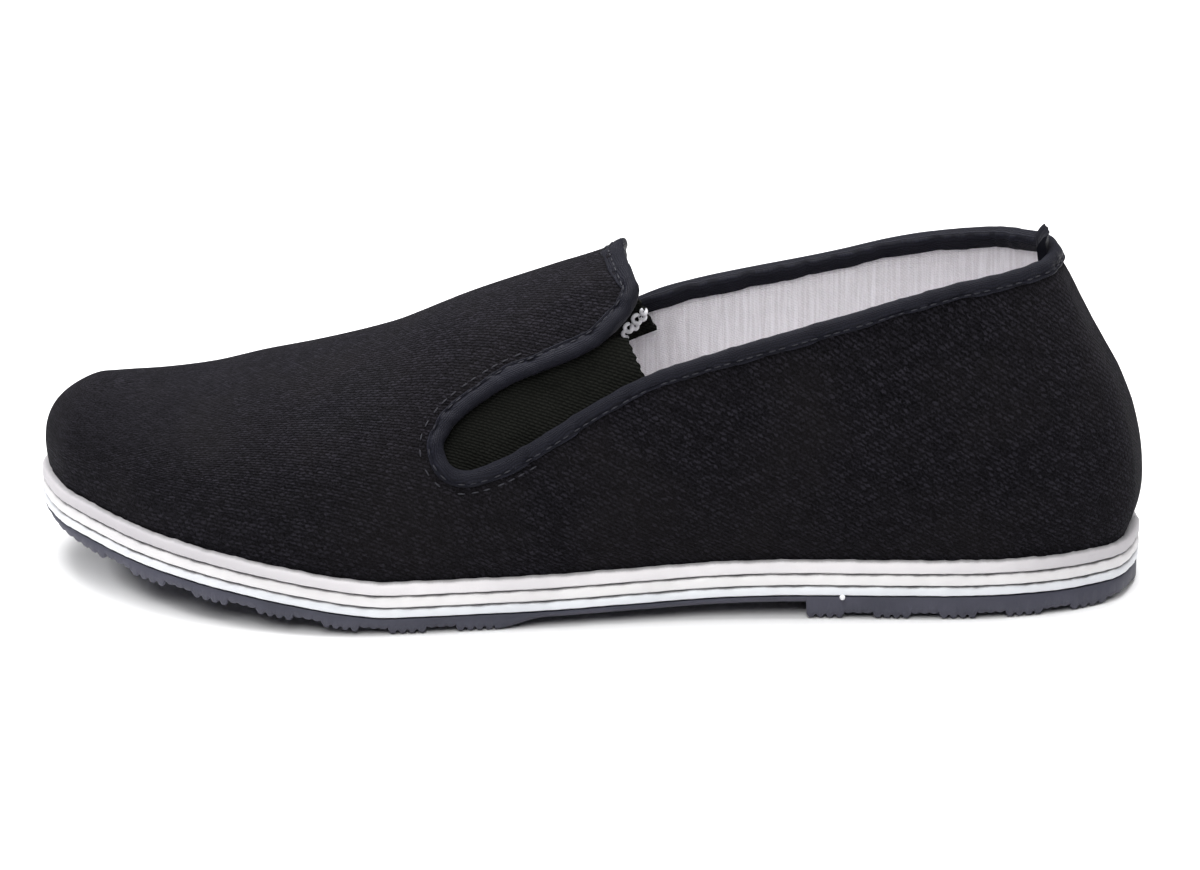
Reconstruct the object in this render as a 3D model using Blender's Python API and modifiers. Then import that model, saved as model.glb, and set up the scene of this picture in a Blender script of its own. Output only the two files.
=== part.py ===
"""Chinese cloth slip-on shoe for the left foot.

Metres, +Z up. The toe points to -X, the lateral (outer) side is -Y, and the
sole stands on the plane z = 0 with the middle of its outline at the origin.
"""
import bisect
from collections import namedtuple
from math import asin, cos, exp, pi, sin

import bmesh
import bpy
from mathutils import Vector

# Main sizes of the shoe
LENGTH = 0.275
BALL_WIDTH = 0.0958
TOE_SPRING = 0.0106
TOPLINE_HEIGHT = 0.0845     # cloth edge above the floor, at the centre back
INSTEP_RISE = 0.832 * TOPLINE_HEIGHT    # last over the feather line, at the tongue
TOE_RISE = 0.0238           # last over the feather line, behind the toe tip

# Sole, from the floor up
HEEL_RUBBER = 0.0054
FOREFOOT_RUBBER = 0.0037
WAIST_RUBBER = 0.0013
TIP_RUBBER = 0.0009
LOWER_LAYER = 0.0023
UPPER_LAYER = 0.0028
WELT_LAYER = 0.0032
LAYER_EDGE = 0.0006         # rounding of each layer's edge, in and up
WELT_SLOPE = 0.0011         # how far the welt's top edge leans in
OUTSOLE_INSET = 0.0003
BAR_LENGTH = 0.0092         # tread bars, along the shoe
BAR_PITCH = 0.01625
BAR_HEIGHT = 0.0011
BAR_DRAFT = 0.0004          # slope of a bar's flank, along the shoe

# Upper and what is sewn to it
WALL = 0.0020
FEATHER_INSET = 0.0019      # cloth inside the sole's edge
BELLY = 0.0030              # fullness over the feather line at the waist
BELLY_HEIGHT = 0.0190
SLOT_LENGTH = 0.0473
TAPE = 0.0008
TAPE_WIDTH = 0.0038
GORE = 0.0011
GORE_MARGIN = 0.0050        # overlap behind the cloth round the slot
GORE_BACK = 0.0045          # free edge's foot behind the slot's opening
GORE_SLANT = 0.0075         # how far the free edge's top lies ahead of its foot
GORE_CLEAR = 0.0012         # least distance from the slot's end where its height is read
INSOLE = 0.0028
INSOLE_GAP = 0.0009         # round the insole's edge
TAB_WIDTH = 0.0100
TAB_PLY = 0.0013
TAB_RISE = 0.0062
TAB_DEPTH = 0.0080
SEAT_GAP = 0.0003           # left between pieces that touch

# One row for each section from the toe to the heel.
# along, ridge: stations as shares of the length; lateral, medial, shift: shares of
# half the ball width; climb: height of the ridge, 0 at the toe and 1 at the tongue;
# squareness: 2 is an ellipse; belly: share of the fullness.
Section = namedtuple("Section", "along lateral medial ridge shift climb squareness belly")
SECTIONS = (
    Section(0.000, 0.134, 0.134, 0.080, 0.10, 0.000, 2.80, 0.50),
    Section(0.020, -0.221, 0.520, 0.082, 0.10, 0.002, 2.75, 0.50),
    Section(0.050, -0.430, 0.687, 0.092, 0.10, 0.006, 2.60, 0.45),
    Section(0.100, -0.660, 0.843, 0.118, 0.10, 0.032, 2.40, 0.45),
    Section(0.150, -0.823, 0.944, 0.155, 0.10, 0.092, 2.30, 0.45),
    Section(0.200, -0.927, 0.990, 0.200, 0.10, 0.200, 2.25, 0.50),
    Section(0.250, -0.985, 1.000, 0.249, 0.10, 0.310, 2.20, 0.55),
    Section(0.300, -1.000, 0.969, 0.298, 0.09, 0.437, 2.20, 0.60),
    Section(0.350, -0.969, 0.916, 0.346, 0.08, 0.570, 2.20, 0.70),
    Section(0.400, -0.921, 0.843, 0.393, 0.07, 0.698, 2.25, 0.80),
    Section(0.470, -0.850, 0.745, 0.461, 0.06, 0.853, 2.35, 0.90),
    Section(0.548, -0.763, 0.676, 0.527, 0.05, 1.000, 2.60, 0.95),
    Section(0.620, -0.700, 0.672, 0.590, 0.05, 1.250, 2.65, 0.95),
    Section(0.700, -0.670, 0.708, 0.650, 0.05, 1.550, 2.30, 0.95),
    Section(0.780, -0.660, 0.739, 0.705, 0.05, 1.620, 2.10, 0.95),
    Section(0.850, -0.639, 0.739, 0.750, 0.05, 1.555, 1.92, 0.98),
    Section(0.910, -0.566, 0.670, 0.772, 0.05, 1.530, 1.88, 1.00),
    Section(0.955, -0.445, 0.535, 0.778, 0.05, 1.530, 1.76, 1.10),
    Section(0.985, -0.285, 0.370, 0.776, 0.05, 1.533, 1.73, 1.12),
    Section(1.000, 0.050, 0.050, 0.775, 0.05, 1.533, 1.72, 1.14),
)

# Lie of the sole: heel and spring are shares of the heel's extra rubber and of the toe spring
Lie = namedtuple("Lie", "along heel spring")
SOLE_LIE = (
    Lie(0.00, 0.0, 1.090), Lie(0.05, 0.0, 0.950), Lie(0.10, 0.0, 0.750), Lie(0.15, 0.0, 0.595),
    Lie(0.20, 0.0, 0.438), Lie(0.25, 0.0, 0.265), Lie(0.30, 0.0, 0.083), Lie(0.335, 0.0, 0.000),
    Lie(0.38, 0.0, 0.000), Lie(0.45, 0.0, 0.000), Lie(0.55, 0.33, 0.000), Lie(0.62, 0.77, 0.000),
    Lie(0.69, 1.0, 0.000), Lie(1.00, 1.0, 0.000),
)
TIP_END = 0.10              # rubber reaches its full forefoot thickness, as a share of the length
TREAD_END = 0.425           # forefoot tread ends
WAIST_START = 0.470
HEEL_START = 0.6935

# Free edge of the cloth seen from the side: station along the shoe, and height as a
# share of the height at the centre back. It runs from the heel down the collar, round
# the slot's end and over the tongue's corner to its top edge.
Edge = namedtuple("Edge", "along height")
COLLAR_EDGE = (
    Edge(0.913, 1.000), Edge(0.889, 0.990), Edge(0.864, 0.980), Edge(0.820, 0.956),
    Edge(0.776, 0.923), Edge(0.733, 0.884), Edge(0.690, 0.845), Edge(0.646, 0.805),
    Edge(0.603, 0.764), Edge(0.559, 0.716), Edge(0.508, 0.632), Edge(0.465, 0.549),
    Edge(0.427, 0.485),
)
# Slot's end, by its own length: back from the end, and height as above
SLOT_EDGE = (
    Edge(0.122, 0.462), Edge(0.034, 0.488), Edge(0.000, 0.536), Edge(0.036, 0.584),
    Edge(0.130, 0.634),
)
TONGUE_EDGE = (
    Edge(0.435, 0.706), Edge(0.484, 0.768), Edge(0.509, 0.807), Edge(0.528, 0.856),
    Edge(0.540, 0.906), Edge(0.543, 0.942),
)
SLOT_BACK = 0.548           # station where the slot opens into the collar
TONGUE_TOP = 0.519          # station of the tongue's top edge on the ridge
MEDIAL_SETBACK = 0.0035     # how far the tongue's medial corner lies ahead of the lateral one
GORE_TOP = 0.830            # highest point of a gore, as a height above

SIDES = ("lateral", "medial")
FINE_COLUMNS = 3            # faces for each section round the toe and heel
COLUMNS = 2                 # faces for each section between them
FINE_SECTIONS = 4           # sections at each end that count as toe or heel
ROWS_QUARTER = 7
FRONT_COLUMNS = 20          # faces from the toe to the slot's end
TOE_DIVIDE = 0.52           # phi where quarter and vamp faces part at the toe
GORE_ROWS = 5
GORE_COLUMNS = 8


def cubic(a, b, c, d, f):
    """Catmull-Rom blend from b to c"""
    return b + 0.5 * f * (c - a + f * (2 * a - 5 * b + 4 * c - d + f * (3 * (b - c) + d - a)))


def closed_spline(values, at):
    """Smooth closed curve through the values; at counts them"""
    i, n = int(at // 1), len(values)
    a, b, c, d = (values[(i + k) % n] for k in (-1, 0, 1, 2))
    return cubic(a, b, c, d, at - i)


def open_spline(points, at):
    """Smooth curve through the points, from the first (0) to the last (len - 1)"""
    i = min(max(int(at), 0), len(points) - 2)
    a, d = points[max(i - 1, 0)], points[min(i + 2, len(points) - 1)]
    return cubic(a, points[i], points[i + 1], d, at - i)


def table_value(rows, column, along):
    """Smooth value of a table's column at a station; level where the column is level"""
    stations = [row.along for row in rows]
    i = min(max(bisect.bisect_right(stations, along) - 1, 0), len(rows) - 2)
    values = [getattr(row, column) for row in rows]
    slopes = []
    for k in (i, i + 1):
        before, after = max(k - 1, 0), min(k + 1, len(rows) - 1)
        level = before < k < after and (values[after] - values[k]) * (values[k] - values[before]) <= 0.0
        rise = 0.0 if level else values[after] - values[before]
        slopes.append(rise / (stations[after] - stations[before]))
    width = stations[i + 1] - stations[i]
    f = min(max((along - stations[i]) / width, 0.0), 1.0)
    rise = values[i + 1] - values[i]
    start, end = slopes[0] * width, slopes[1] * width
    return values[i] + f * start + f * f * (3 * rise - 2 * start - end) + f ** 3 * (start + end - 2 * rise)


def station_x(along):
    return (along - 0.5) * LENGTH


def sole_lie(x):
    """Height of the outsole's top above the floor"""
    along = x / LENGTH + 0.5
    heel = table_value(SOLE_LIE, "heel", along)
    spring = table_value(SOLE_LIE, "spring", along)
    return FOREFOOT_RUBBER + (HEEL_RUBBER - FOREFOOT_RUBBER) * heel + TOE_SPRING * spring


def layer_bottom(index):
    """Height of a white layer's underside over the outsole's top"""
    layers = (LOWER_LAYER, UPPER_LAYER, WELT_LAYER)
    return sum(layers[:index]) + SEAT_GAP * (index + 1)


def feather_height(x):
    return sole_lie(x) + layer_bottom(3)


LAST_ROW = len(SECTIONS) - 1
LOOP = [(row, row.lateral) for row in SECTIONS]
LOOP += [(row, row.medial) for row in reversed(SECTIONS[1:-1])]


def loop_of(value):
    """A value of each section round the whole sole: lateral side back, medial side forward"""
    return [value(row, side) for row, side in LOOP]


OUTLINE_X = loop_of(lambda row, side: station_x(row.along))
OUTLINE_Y = loop_of(lambda row, side: side)
RIDGE_X = loop_of(lambda row, side: station_x(row.ridge))
RIDGE_SHIFT = loop_of(lambda row, side: row.shift * BALL_WIDTH / 2)
CLIMB = loop_of(lambda row, side: row.climb)
SQUARENESS = loop_of(lambda row, side: row.squareness)
FULLNESS = loop_of(lambda row, side: row.belly)
WIDEST = [closed_spline(OUTLINE_Y, k / 12) for k in range(12 * len(LOOP))]
Y_SCALE = BALL_WIDTH / (max(WIDEST) - min(WIDEST))
Y_MIDDLE = (max(WIDEST) + min(WIDEST)) / 2


def outline(w, inset=0.0):
    """Point of the sole's edge; w counts sections back along the lateral side (0 to
    LAST_ROW) and on round the medial side"""
    def at(v):
        x = closed_spline(OUTLINE_X, v)
        y = (closed_spline(OUTLINE_Y, v) - Y_MIDDLE) * Y_SCALE
        return Vector((x, y, 0.0))
    point = at(w)
    if inset:
        tangent = (at(w + 0.02) - at(w - 0.02)).normalized()
        point += inset * Vector((-tangent.y, tangent.x, 0.0))
    return point


def surface(w, phi, depth=0.0):
    """Point of the last: phi 0 at the feather line, 1 at the ridge; depth runs inwards"""
    if phi > 1.0:
        w, phi = -w, 2.0 - phi
    if depth:
        return surface(w, phi) - depth * normal(w, phi)
    foot = outline(w, FEATHER_INSET)
    foot.z = feather_height(closed_spline(OUTLINE_X, w))
    ridge_x = closed_spline(RIDGE_X, w)
    rise = TOE_RISE + (INSTEP_RISE - TOE_RISE) * closed_spline(CLIMB, w)
    power = 2.0 / closed_spline(SQUARENESS, w)
    up, over = sin(phi * pi / 2) ** power, 1.0 - max(cos(phi * pi / 2), 0.0) ** power
    head = Vector((ridge_x, closed_spline(RIDGE_SHIFT, w), 0.0))
    height = rise * up
    across = head - Vector((foot.x, foot.y, 0.0))
    point = foot + across * over
    level = height / BELLY_HEIGHT
    belly = BELLY * closed_spline(FULLNESS, w) * level * exp(1.0 - level) * (1.0 - over)
    point -= across.normalized() * belly
    point.z = foot.z + (feather_height(ridge_x) - foot.z) * up + height
    return point


def normal(w, phi):
    """Outward unit normal of the last"""
    step_w, step_phi = 0.01, 0.002
    phi = min(max(phi, step_phi), 2.0 - step_phi)
    along = surface(w + step_w, phi) - surface(w - step_w, phi)
    upward = surface(w, phi + step_phi) - surface(w, phi - step_phi)
    return along.cross(upward).normalized()


def seek(value, low, high, target):
    """Where a rising function of one number meets the target"""
    for _ in range(30):
        middle = (low + high) / 2
        if value(middle) < target:
            low = middle
        else:
            high = middle
    return (low + high) / 2


def on_side(side, t):
    """Place in the loop of section t, counted from the toe"""
    return t if side == "lateral" else -t


def phi_at_height(w, z):
    """phi where the last reaches the height z in the section w"""
    low, high = surface(w, 0.0).z, surface(w, 1.0).z
    up = min(max((z - low) / (high - low), 0.0), 1.0)
    return 2 / pi * asin(min(up ** (closed_spline(SQUARENESS, w) / 2), 1.0))


def locate(side, x, z):
    """Section and phi of the last's point that is seen at x, z from the side"""
    def seen_x(t):
        w = on_side(side, t)
        return surface(w, phi_at_height(w, z)).x
    t = seek(seen_x, 0.0, float(LAST_ROW), x)
    return t, phi_at_height(on_side(side, t), z)


def edge_outline(rows, count):
    """Points of a stretch of the cloth's free edge, seen from the side"""
    points = [Vector((station_x(row.along), row.height * TOPLINE_HEIGHT)) for row in rows]
    return [open_spline(points, k * (len(points) - 1) / count) for k in range(count + 1)]


def slot_rows():
    """Whole free edge of one side: collar, slot and tongue"""
    end = SLOT_BACK - SLOT_LENGTH / LENGTH
    slot = tuple(Edge(end + row.along * SLOT_LENGTH / LENGTH, row.height) for row in SLOT_EDGE)
    return COLLAR_EDGE + slot + TONGUE_EDGE, len(COLLAR_EDGE) + SLOT_EDGE.index(min(SLOT_EDGE))


EDGE_ROWS, SLOT_TIP = slot_rows()
EDGE_STEPS = 2              # edge points for each row of the tables
TONGUE_STEPS = 7            # edge points up the back of the tongue


def up_the_tongue(low, high, step):
    """Place on a line from the vamp's lower edge to the ridge, which it meets square"""
    f = step / TONGUE_STEPS
    return low[0] + (high[0] - low[0]) * f * (2.0 - f), low[1] + (high[1] - low[1]) * f


def free_edge(side):
    """The side's edge as (t, phi): the collar and slot's lower edge up to the slot's end,
    then its upper edge round the tongue's corner, then the tongue's back up to the ridge"""
    points = edge_outline(EDGE_ROWS, EDGE_STEPS * (len(EDGE_ROWS) - 1))
    tip = EDGE_STEPS * SLOT_TIP
    if side == "medial":
        for k in range(tip + 1, len(points)):
            points[k].x -= MEDIAL_SETBACK * ((k - tip) / (len(points) - 1 - tip)) ** 2
    places = [locate(side, point.x, point.y) for point in points[1:]]
    places.insert(0, (float(LAST_ROW), phi_at_height(LAST_ROW, TOPLINE_HEIGHT)))
    corner = places[-1]
    ridge_t = seek(lambda t: closed_spline(RIDGE_X, t), 0.0, float(LAST_ROW), station_x(TONGUE_TOP))
    back = [up_the_tongue(corner, (ridge_t, 1.0), k) for k in range(1, TONGUE_STEPS + 1)]
    return places[:tip + 1], places[tip:], back


def patch(bm, grid):
    """Faces over a grid of places (w, phi) on the last"""
    verts = [[bm.verts.new(surface(w, phi)) for w, phi in line] for line in grid]
    for low, high in zip(verts, verts[1:]):
        for k in range(len(low) - 1):
            bm.faces.new((low[k], low[k + 1], high[k + 1], high[k]))


def dividing_edge(side):
    """Edges of the quarter and of the vamp as (t, phi): both start with the line that
    runs from the toe to the slot's end"""
    lower, upper, back = free_edge(side)
    tip_t, tip_phi = lower[-1]
    front = [tip_t * k / FRONT_COLUMNS for k in range(FRONT_COLUMNS)]
    divide = [(t, TOE_DIVIDE + (tip_phi - TOE_DIVIDE) * (t / tip_t) ** 2) for t in front]
    return divide + lower[::-1], divide + upper, back


def upper_grids(side):
    """Quarter and vamp of one side as grids of (w, phi), rows upwards"""
    quarter_edge, vamp_edge, back = dividing_edge(side)
    quarter = []
    for row in range(ROWS_QUARTER + 1):
        f = row / ROWS_QUARTER
        quarter.append([(on_side(side, t), phi * f) for t, phi in quarter_edge])
    lateral_edge = dividing_edge("lateral")[1]
    ridge_t = back[-1][0]
    ridge = [ridge_t * t / lateral_edge[-1][0] for t, phi in lateral_edge]
    vamp = []
    for row in range(TONGUE_STEPS + 1):
        line = [up_the_tongue(place, (top, 1.0), row) for place, top in zip(vamp_edge, ridge)]
        vamp.append([(on_side(side, t), phi) for t, phi in line])
    return quarter, vamp


def new_object(name, mesh, material):
    mesh.materials.append(material)
    obj = bpy.data.objects.new(name, mesh)
    COLLECTION.objects.link(obj)
    return obj


def finish_mesh(bm, name, material, smooth=True):
    bmesh.ops.remove_doubles(bm, verts=bm.verts, dist=1e-6)
    mesh = bpy.data.meshes.new(name)
    bm.to_mesh(mesh)
    bm.free()
    if smooth:
        mesh.shade_smooth()
        mesh.set_sharp_from_angle(angle=0.7)
    return new_object(name, mesh, material)


def thicken(obj, thickness, offset=-1.0, even=True):
    """Solidify an open sheet; offset -1 grows it away from its normals"""
    solid = obj.modifiers.new("Wall", "SOLIDIFY")
    solid.thickness = thickness
    solid.offset = offset
    solid.use_even_offset = even
    return obj


def paint(name, colour, roughness):
    material = bpy.data.materials.new(name)
    material.use_nodes = True
    shader = material.node_tree.nodes["Principled BSDF"]
    shader.inputs["Base Color"].default_value = (*colour, 1.0)
    shader.inputs["Roughness"].default_value = roughness
    shader.inputs["Metallic"].default_value = 0.0
    return material


def make_upper(material):
    bm = bmesh.new()
    for side in SIDES:
        for grid in upper_grids(side):
            patch(bm, grid if side == "lateral" else [line[::-1] for line in grid])
    return thicken(finish_mesh(bm, "upper", material), WALL, even=False)


def edge_loop():
    """The cloth's free edge as one closed loop of places (w, phi)"""
    loop = []
    for side in SIDES:
        lower, upper, back = free_edge(side)
        places = [(on_side(side, t), phi) for t, phi in lower + upper[1:] + back]
        loop.append(places)
    lateral, medial = loop
    return lateral + medial[-2:0:-1]


def make_binding(material):
    """Folded tape over the free edge: inner leg, fold and outer leg"""
    reach = TAPE_WIDTH - TAPE - SEAT_GAP
    outside, inside = SEAT_GAP, -WALL - SEAT_GAP
    section = ((reach, outside), (0.0, outside), (-SEAT_GAP, 0.0),
               (-SEAT_GAP, -WALL), (0.0, inside), (reach, inside))
    places = edge_loop()
    points = [surface(w, phi) for w, phi in places]
    bm = bmesh.new()
    rings = []
    for k, (w, phi) in enumerate(places):
        out = normal(w, phi)
        tangent = points[(k + 1) % len(points)] - points[k - 1]
        into = out.cross(tangent).normalized()
        rings.append([bm.verts.new(points[k] + into * a + out * b) for a, b in section])
    for k, ring in enumerate(rings):
        after = rings[(k + 1) % len(rings)]
        for j in range(len(section) - 1):
            bm.faces.new((ring[j], ring[j + 1], after[j + 1], after[j]))
    return thicken(finish_mesh(bm, "edge_binding", material), TAPE, 1.0)


def make_gore(side, material):
    """Elastic insert behind a slot, from in front of its end to the collar"""
    depth = WALL + 2 * SEAT_GAP + TAPE
    end_x = station_x(SLOT_BACK) - SLOT_LENGTH
    edge = edge_outline(EDGE_ROWS, GORE_COLUMNS * (len(EDGE_ROWS) - 1))
    tip = min(range(len(edge)), key=lambda k: edge[k].x)
    grid = []
    for column in range(GORE_COLUMNS + 1):
        f = column / GORE_COLUMNS
        x = end_x - GORE_MARGIN + (SLOT_LENGTH + GORE_MARGIN + GORE_BACK) * f
        reach = max(x, end_x + GORE_CLEAR)
        low = min(edge[:tip + 1], key=lambda p: abs(p.x - reach)).y
        high = min(edge[tip:], key=lambda p: abs(p.x - reach)).y
        low, high = low - GORE_MARGIN, min(high + GORE_MARGIN, GORE_TOP * TOPLINE_HEIGHT)
        line = []
        for row in range(GORE_ROWS + 1):
            up = row / GORE_ROWS
            t, phi = locate(side, x - GORE_SLANT * f * up, low + (high - low) * up)
            line.append(surface(on_side(side, t), phi, depth))
        grid.append(line)
    bm = bmesh.new()
    verts = [[bm.verts.new(point) for point in line] for line in grid]
    for a, b in zip(verts, verts[1:]):
        for k in range(GORE_ROWS):
            face = (a[k], b[k], b[k + 1], a[k + 1])
            bm.faces.new(face if side == "lateral" else face[::-1])
    return thicken(finish_mesh(bm, f"gore_{side}", material), GORE)


def plate(name, ring, levels, material):
    """Layer of the sole: levels are (inset, height function of x), from the bottom up"""
    bm = bmesh.new()
    count = len(ring)
    loops = []
    for inset, height in levels:
        loop = []
        for w in ring:
            point = outline(w, inset)
            point.z = height(outline(w).x)
            loop.append(bm.verts.new(point))
        loops.append(loop)
    for low, high in zip(loops, loops[1:]):
        for k in range(count):
            after = (k + 1) % count
            bm.faces.new((low[k], low[after], high[after], high[k]))
    for loop, up in ((loops[0], False), (loops[-1], True)):
        for k in range(count // 2):
            face = [loop[k], loop[k + 1], loop[-k - 1], loop[-k]]
            if k == 0:
                face.pop()
            if k == count // 2 - 1:
                face.pop(2)
            bm.faces.new(face if up else face[::-1])
    return finish_mesh(bm, name, material)


def full_ring(sections):
    """Loop places of all sections: lateral side back, medial side forward"""
    return sections + [-t for t in reversed(sections[1:-1])]


def even_sections():
    """Sections cut finer round the toe and heel"""
    cuts = []
    for row in range(LAST_ROW):
        end = row < FINE_SECTIONS or row >= LAST_ROW - FINE_SECTIONS
        count = FINE_COLUMNS if end else COLUMNS
        cuts += [row + k / count for k in range(count)]
    return cuts + [float(LAST_ROW)]


def make_layers(materials):
    """The three white layers, each with a rounded edge"""
    ring = full_ring(even_sections())
    layers = (("midsole_lower", LOWER_LAYER, LAYER_EDGE), ("midsole_upper", UPPER_LAYER, LAYER_EDGE),
              ("welt", WELT_LAYER, WELT_SLOPE))
    for index, (name, thickness, lean) in enumerate(layers):
        base = layer_bottom(index)
        steps = ((LAYER_EDGE, 0.0), (0.0, LAYER_EDGE), (0.0, thickness - LAYER_EDGE - lean / 2),
                 (lean, thickness))
        levels = [(inset, lambda x, up=base + rise: sole_lie(x) + up) for inset, rise in steps]
        plate(name, ring, levels, materials[index])


def make_insole(material):
    ring = full_ring(even_sections())
    inset = FEATHER_INSET + WALL + INSOLE_GAP
    steps = ((inset, SEAT_GAP), (inset, INSOLE * 0.7), (inset + LAYER_EDGE, INSOLE))
    levels = [(edge, lambda x, up=rise: feather_height(x) + up) for edge, rise in steps]
    plate("insole", ring, levels, material)


def outsole_thickness(along):
    """Rubber under the white layers: tip, forefoot tread, waist and heel block"""
    if along < TIP_END:
        return TIP_RUBBER + (FOREFOOT_RUBBER - TIP_RUBBER) * sin(along / TIP_END * pi / 2)
    if along < TREAD_END:
        return FOREFOOT_RUBBER
    if along < WAIST_START:
        fade = (along - TREAD_END) / (WAIST_START - TREAD_END)
        return FOREFOOT_RUBBER + (WAIST_RUBBER - FOREFOOT_RUBBER) * (3 - 2 * fade) * fade * fade
    if along < HEEL_START:
        return WAIST_RUBBER
    return HEEL_RUBBER


def tread_bars():
    """Stations where a cross bar of the tread starts and ends, toe to heel"""
    bars = []
    start = HEEL_START * LENGTH
    while start < LENGTH - BAR_LENGTH / 2:
        bars.append((start, min(start + BAR_LENGTH, LENGTH)))
        start += BAR_PITCH
    end = TREAD_END * LENGTH
    while end - BAR_LENGTH > 0.04 * LENGTH:
        bars.append((end - BAR_LENGTH, end))
        end -= BAR_PITCH
    return sorted(bars)


def make_outsole(material):
    """Rubber with cross bars: the underside steps at each bar's flanks"""
    bars = tread_bars()
    marks = []
    for start, end in bars:
        if start > HEEL_START * LENGTH + BAR_DRAFT:
            marks += [(start - BAR_DRAFT, BAR_HEIGHT), (start, 0.0)]
        elif start > TREAD_END * LENGTH:
            marks += [(start - BAR_DRAFT, 0.0), (start, 0.0)]
        else:
            marks += [(start - BAR_DRAFT, BAR_HEIGHT), (start, 0.0)]
        if end < TREAD_END * LENGTH - BAR_DRAFT or HEEL_START * LENGTH < end < LENGTH - BAR_DRAFT:
            marks += [(end, 0.0), (end + BAR_DRAFT, BAR_HEIGHT)]
    marks += [(TREAD_END * LENGTH, 0.0), (WAIST_START * LENGTH, 0.0)]
    marks.sort()
    relief = {}
    for place, cut in marks:
        t = seek(lambda t: outline(t).x + LENGTH / 2, 0.0, float(LAST_ROW), place)
        relief[t] = cut
    last_mark, first_mark = max(relief), min(relief)
    for t in even_sections():
        near = min(relief, key=lambda other: abs(other - t))
        if abs(near - t) < 0.12:
            continue
        before = max((m for m in relief if m < t), default=first_mark)
        after = min((m for m in relief if m > t), default=last_mark)
        cut = max(relief[before], relief[after]) if relief[before] == relief[after] else 0.0
        relief[t] = cut if first_mark < t < last_mark else 0.0
    sections = sorted(relief)
    ring = full_ring(sections)
    cuts = {outline(t).x: cut for t, cut in relief.items()}

    def underside(x):
        cut = cuts[min(cuts, key=lambda other: abs(other - x))]
        along = min(x / LENGTH + 0.5, 1.0)
        step = BAR_DRAFT / LENGTH / 2
        return sole_lie(x) - outsole_thickness(along + step) + cut

    levels = ((OUTSOLE_INSET + LAYER_EDGE, underside),
              (OUTSOLE_INSET, lambda x: sole_lie(x) - min(0.3 * (sole_lie(x) - underside(x)), 0.001)),
              (OUTSOLE_INSET, lambda x: sole_lie(x)))
    return plate("outsole", ring, levels, material)


def make_heel_tab(material):
    """Tape folded double inside the centre back, its fold standing over the binding"""
    phi = phi_at_height(LAST_ROW, TOPLINE_HEIGHT)
    start = WALL + 4 * SEAT_GAP + TAPE
    straight = TAB_RISE - TAB_PLY
    profile = [(-TAB_DEPTH, -start), (straight, -start)]
    for k in range(1, 6):
        angle = pi * k / 6
        profile.append((straight + TAB_PLY * sin(angle), -start - TAB_PLY * (1 - cos(angle))))
    profile += [(straight, -start - 2 * TAB_PLY), (-TAB_DEPTH, -start - 2 * TAB_PLY)]
    out = normal(LAST_ROW, phi)
    up = Vector((-out.z, 0.0, out.x)).normalized()
    half = seek(lambda v: surface(LAST_ROW + v, phi).y - surface(LAST_ROW - v, phi).y,
                0.0, 2.0, TAB_WIDTH)
    steps = 4
    bm = bmesh.new()
    loops = []
    for k in range(-steps, steps + 1):
        base = surface(LAST_ROW + half * k / steps, phi)
        loops.append([bm.verts.new(base + up * a + out * b) for a, b in profile])
    count = len(profile)
    for low, high in zip(loops, loops[1:]):
        for k in range(count):
            after = (k + 1) % count
            bm.faces.new((low[k], low[after], high[after], high[k]))
    bm.faces.new(loops[0][::-1])
    bm.faces.new(loops[-1])
    bmesh.ops.recalc_face_normals(bm, faces=bm.faces)
    return finish_mesh(bm, "heel_tab", material)


for old in list(bpy.data.objects):
    bpy.data.objects.remove(old, do_unlink=True)
COLLECTION = bpy.data.collections.new("chinese_cloth_shoe")
bpy.context.scene.collection.children.link(COLLECTION)


def build():
    cloth = paint("black_twill", (0.012, 0.012, 0.014), 0.85)
    tape = paint("black_tape", (0.020, 0.022, 0.028), 0.6)
    knit = paint("black_elastic", (0.014, 0.016, 0.014), 0.8)
    sock = paint("sock_cotton", (0.55, 0.52, 0.52), 0.9)
    whites = [paint("lower_white", (0.80, 0.83, 0.87), 0.5), paint("middle_white", (0.76, 0.75, 0.72), 0.5),
              paint("welt_white", (0.68, 0.65, 0.66), 0.6)]
    rubber = paint("slate_rubber", (0.07, 0.075, 0.10), 0.7)
    make_outsole(rubber)
    make_layers(whites)
    make_insole(sock)
    make_upper(cloth)
    make_binding(tape)
    for side in SIDES:
        make_gore(side, knit)
    make_heel_tab(tape)


build()
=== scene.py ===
# %% [markdown]
# # A Chinese cloth shoe
# The shoe is a slip-on for the left foot: black cotton twill over a white lining, a folded
# tape round its collar, an elastic insert at each side of the tongue, and a flat sole of
# three white layers over grey rubber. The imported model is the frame: it fixes sizes and
# places. This script lays a finer skin over it and gives every skin its finish.

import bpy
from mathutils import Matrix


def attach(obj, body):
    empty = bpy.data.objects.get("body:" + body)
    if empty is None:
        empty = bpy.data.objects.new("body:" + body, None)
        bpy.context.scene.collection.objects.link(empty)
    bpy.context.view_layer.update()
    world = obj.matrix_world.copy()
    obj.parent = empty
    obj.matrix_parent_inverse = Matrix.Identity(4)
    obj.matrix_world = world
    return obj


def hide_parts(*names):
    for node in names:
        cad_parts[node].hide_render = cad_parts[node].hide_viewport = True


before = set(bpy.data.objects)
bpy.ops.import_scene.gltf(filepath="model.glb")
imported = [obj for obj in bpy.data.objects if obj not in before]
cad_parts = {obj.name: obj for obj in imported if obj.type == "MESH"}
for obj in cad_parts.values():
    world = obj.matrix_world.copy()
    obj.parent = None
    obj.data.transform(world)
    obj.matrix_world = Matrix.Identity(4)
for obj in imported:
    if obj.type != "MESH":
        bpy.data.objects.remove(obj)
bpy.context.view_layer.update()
print("Packed nodes:", ", ".join(sorted(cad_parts)))

# %% [markdown]
# The camera comes first, because every finish is judged through it. The photograph was
# taken with a long lens, almost square to the outer side and a little from above. A real
# distance and a real lens give the same slight foreshortening as the photograph has.

# %% Place the camera
from collections import namedtuple
from math import cos, pi, radians, sin

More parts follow.
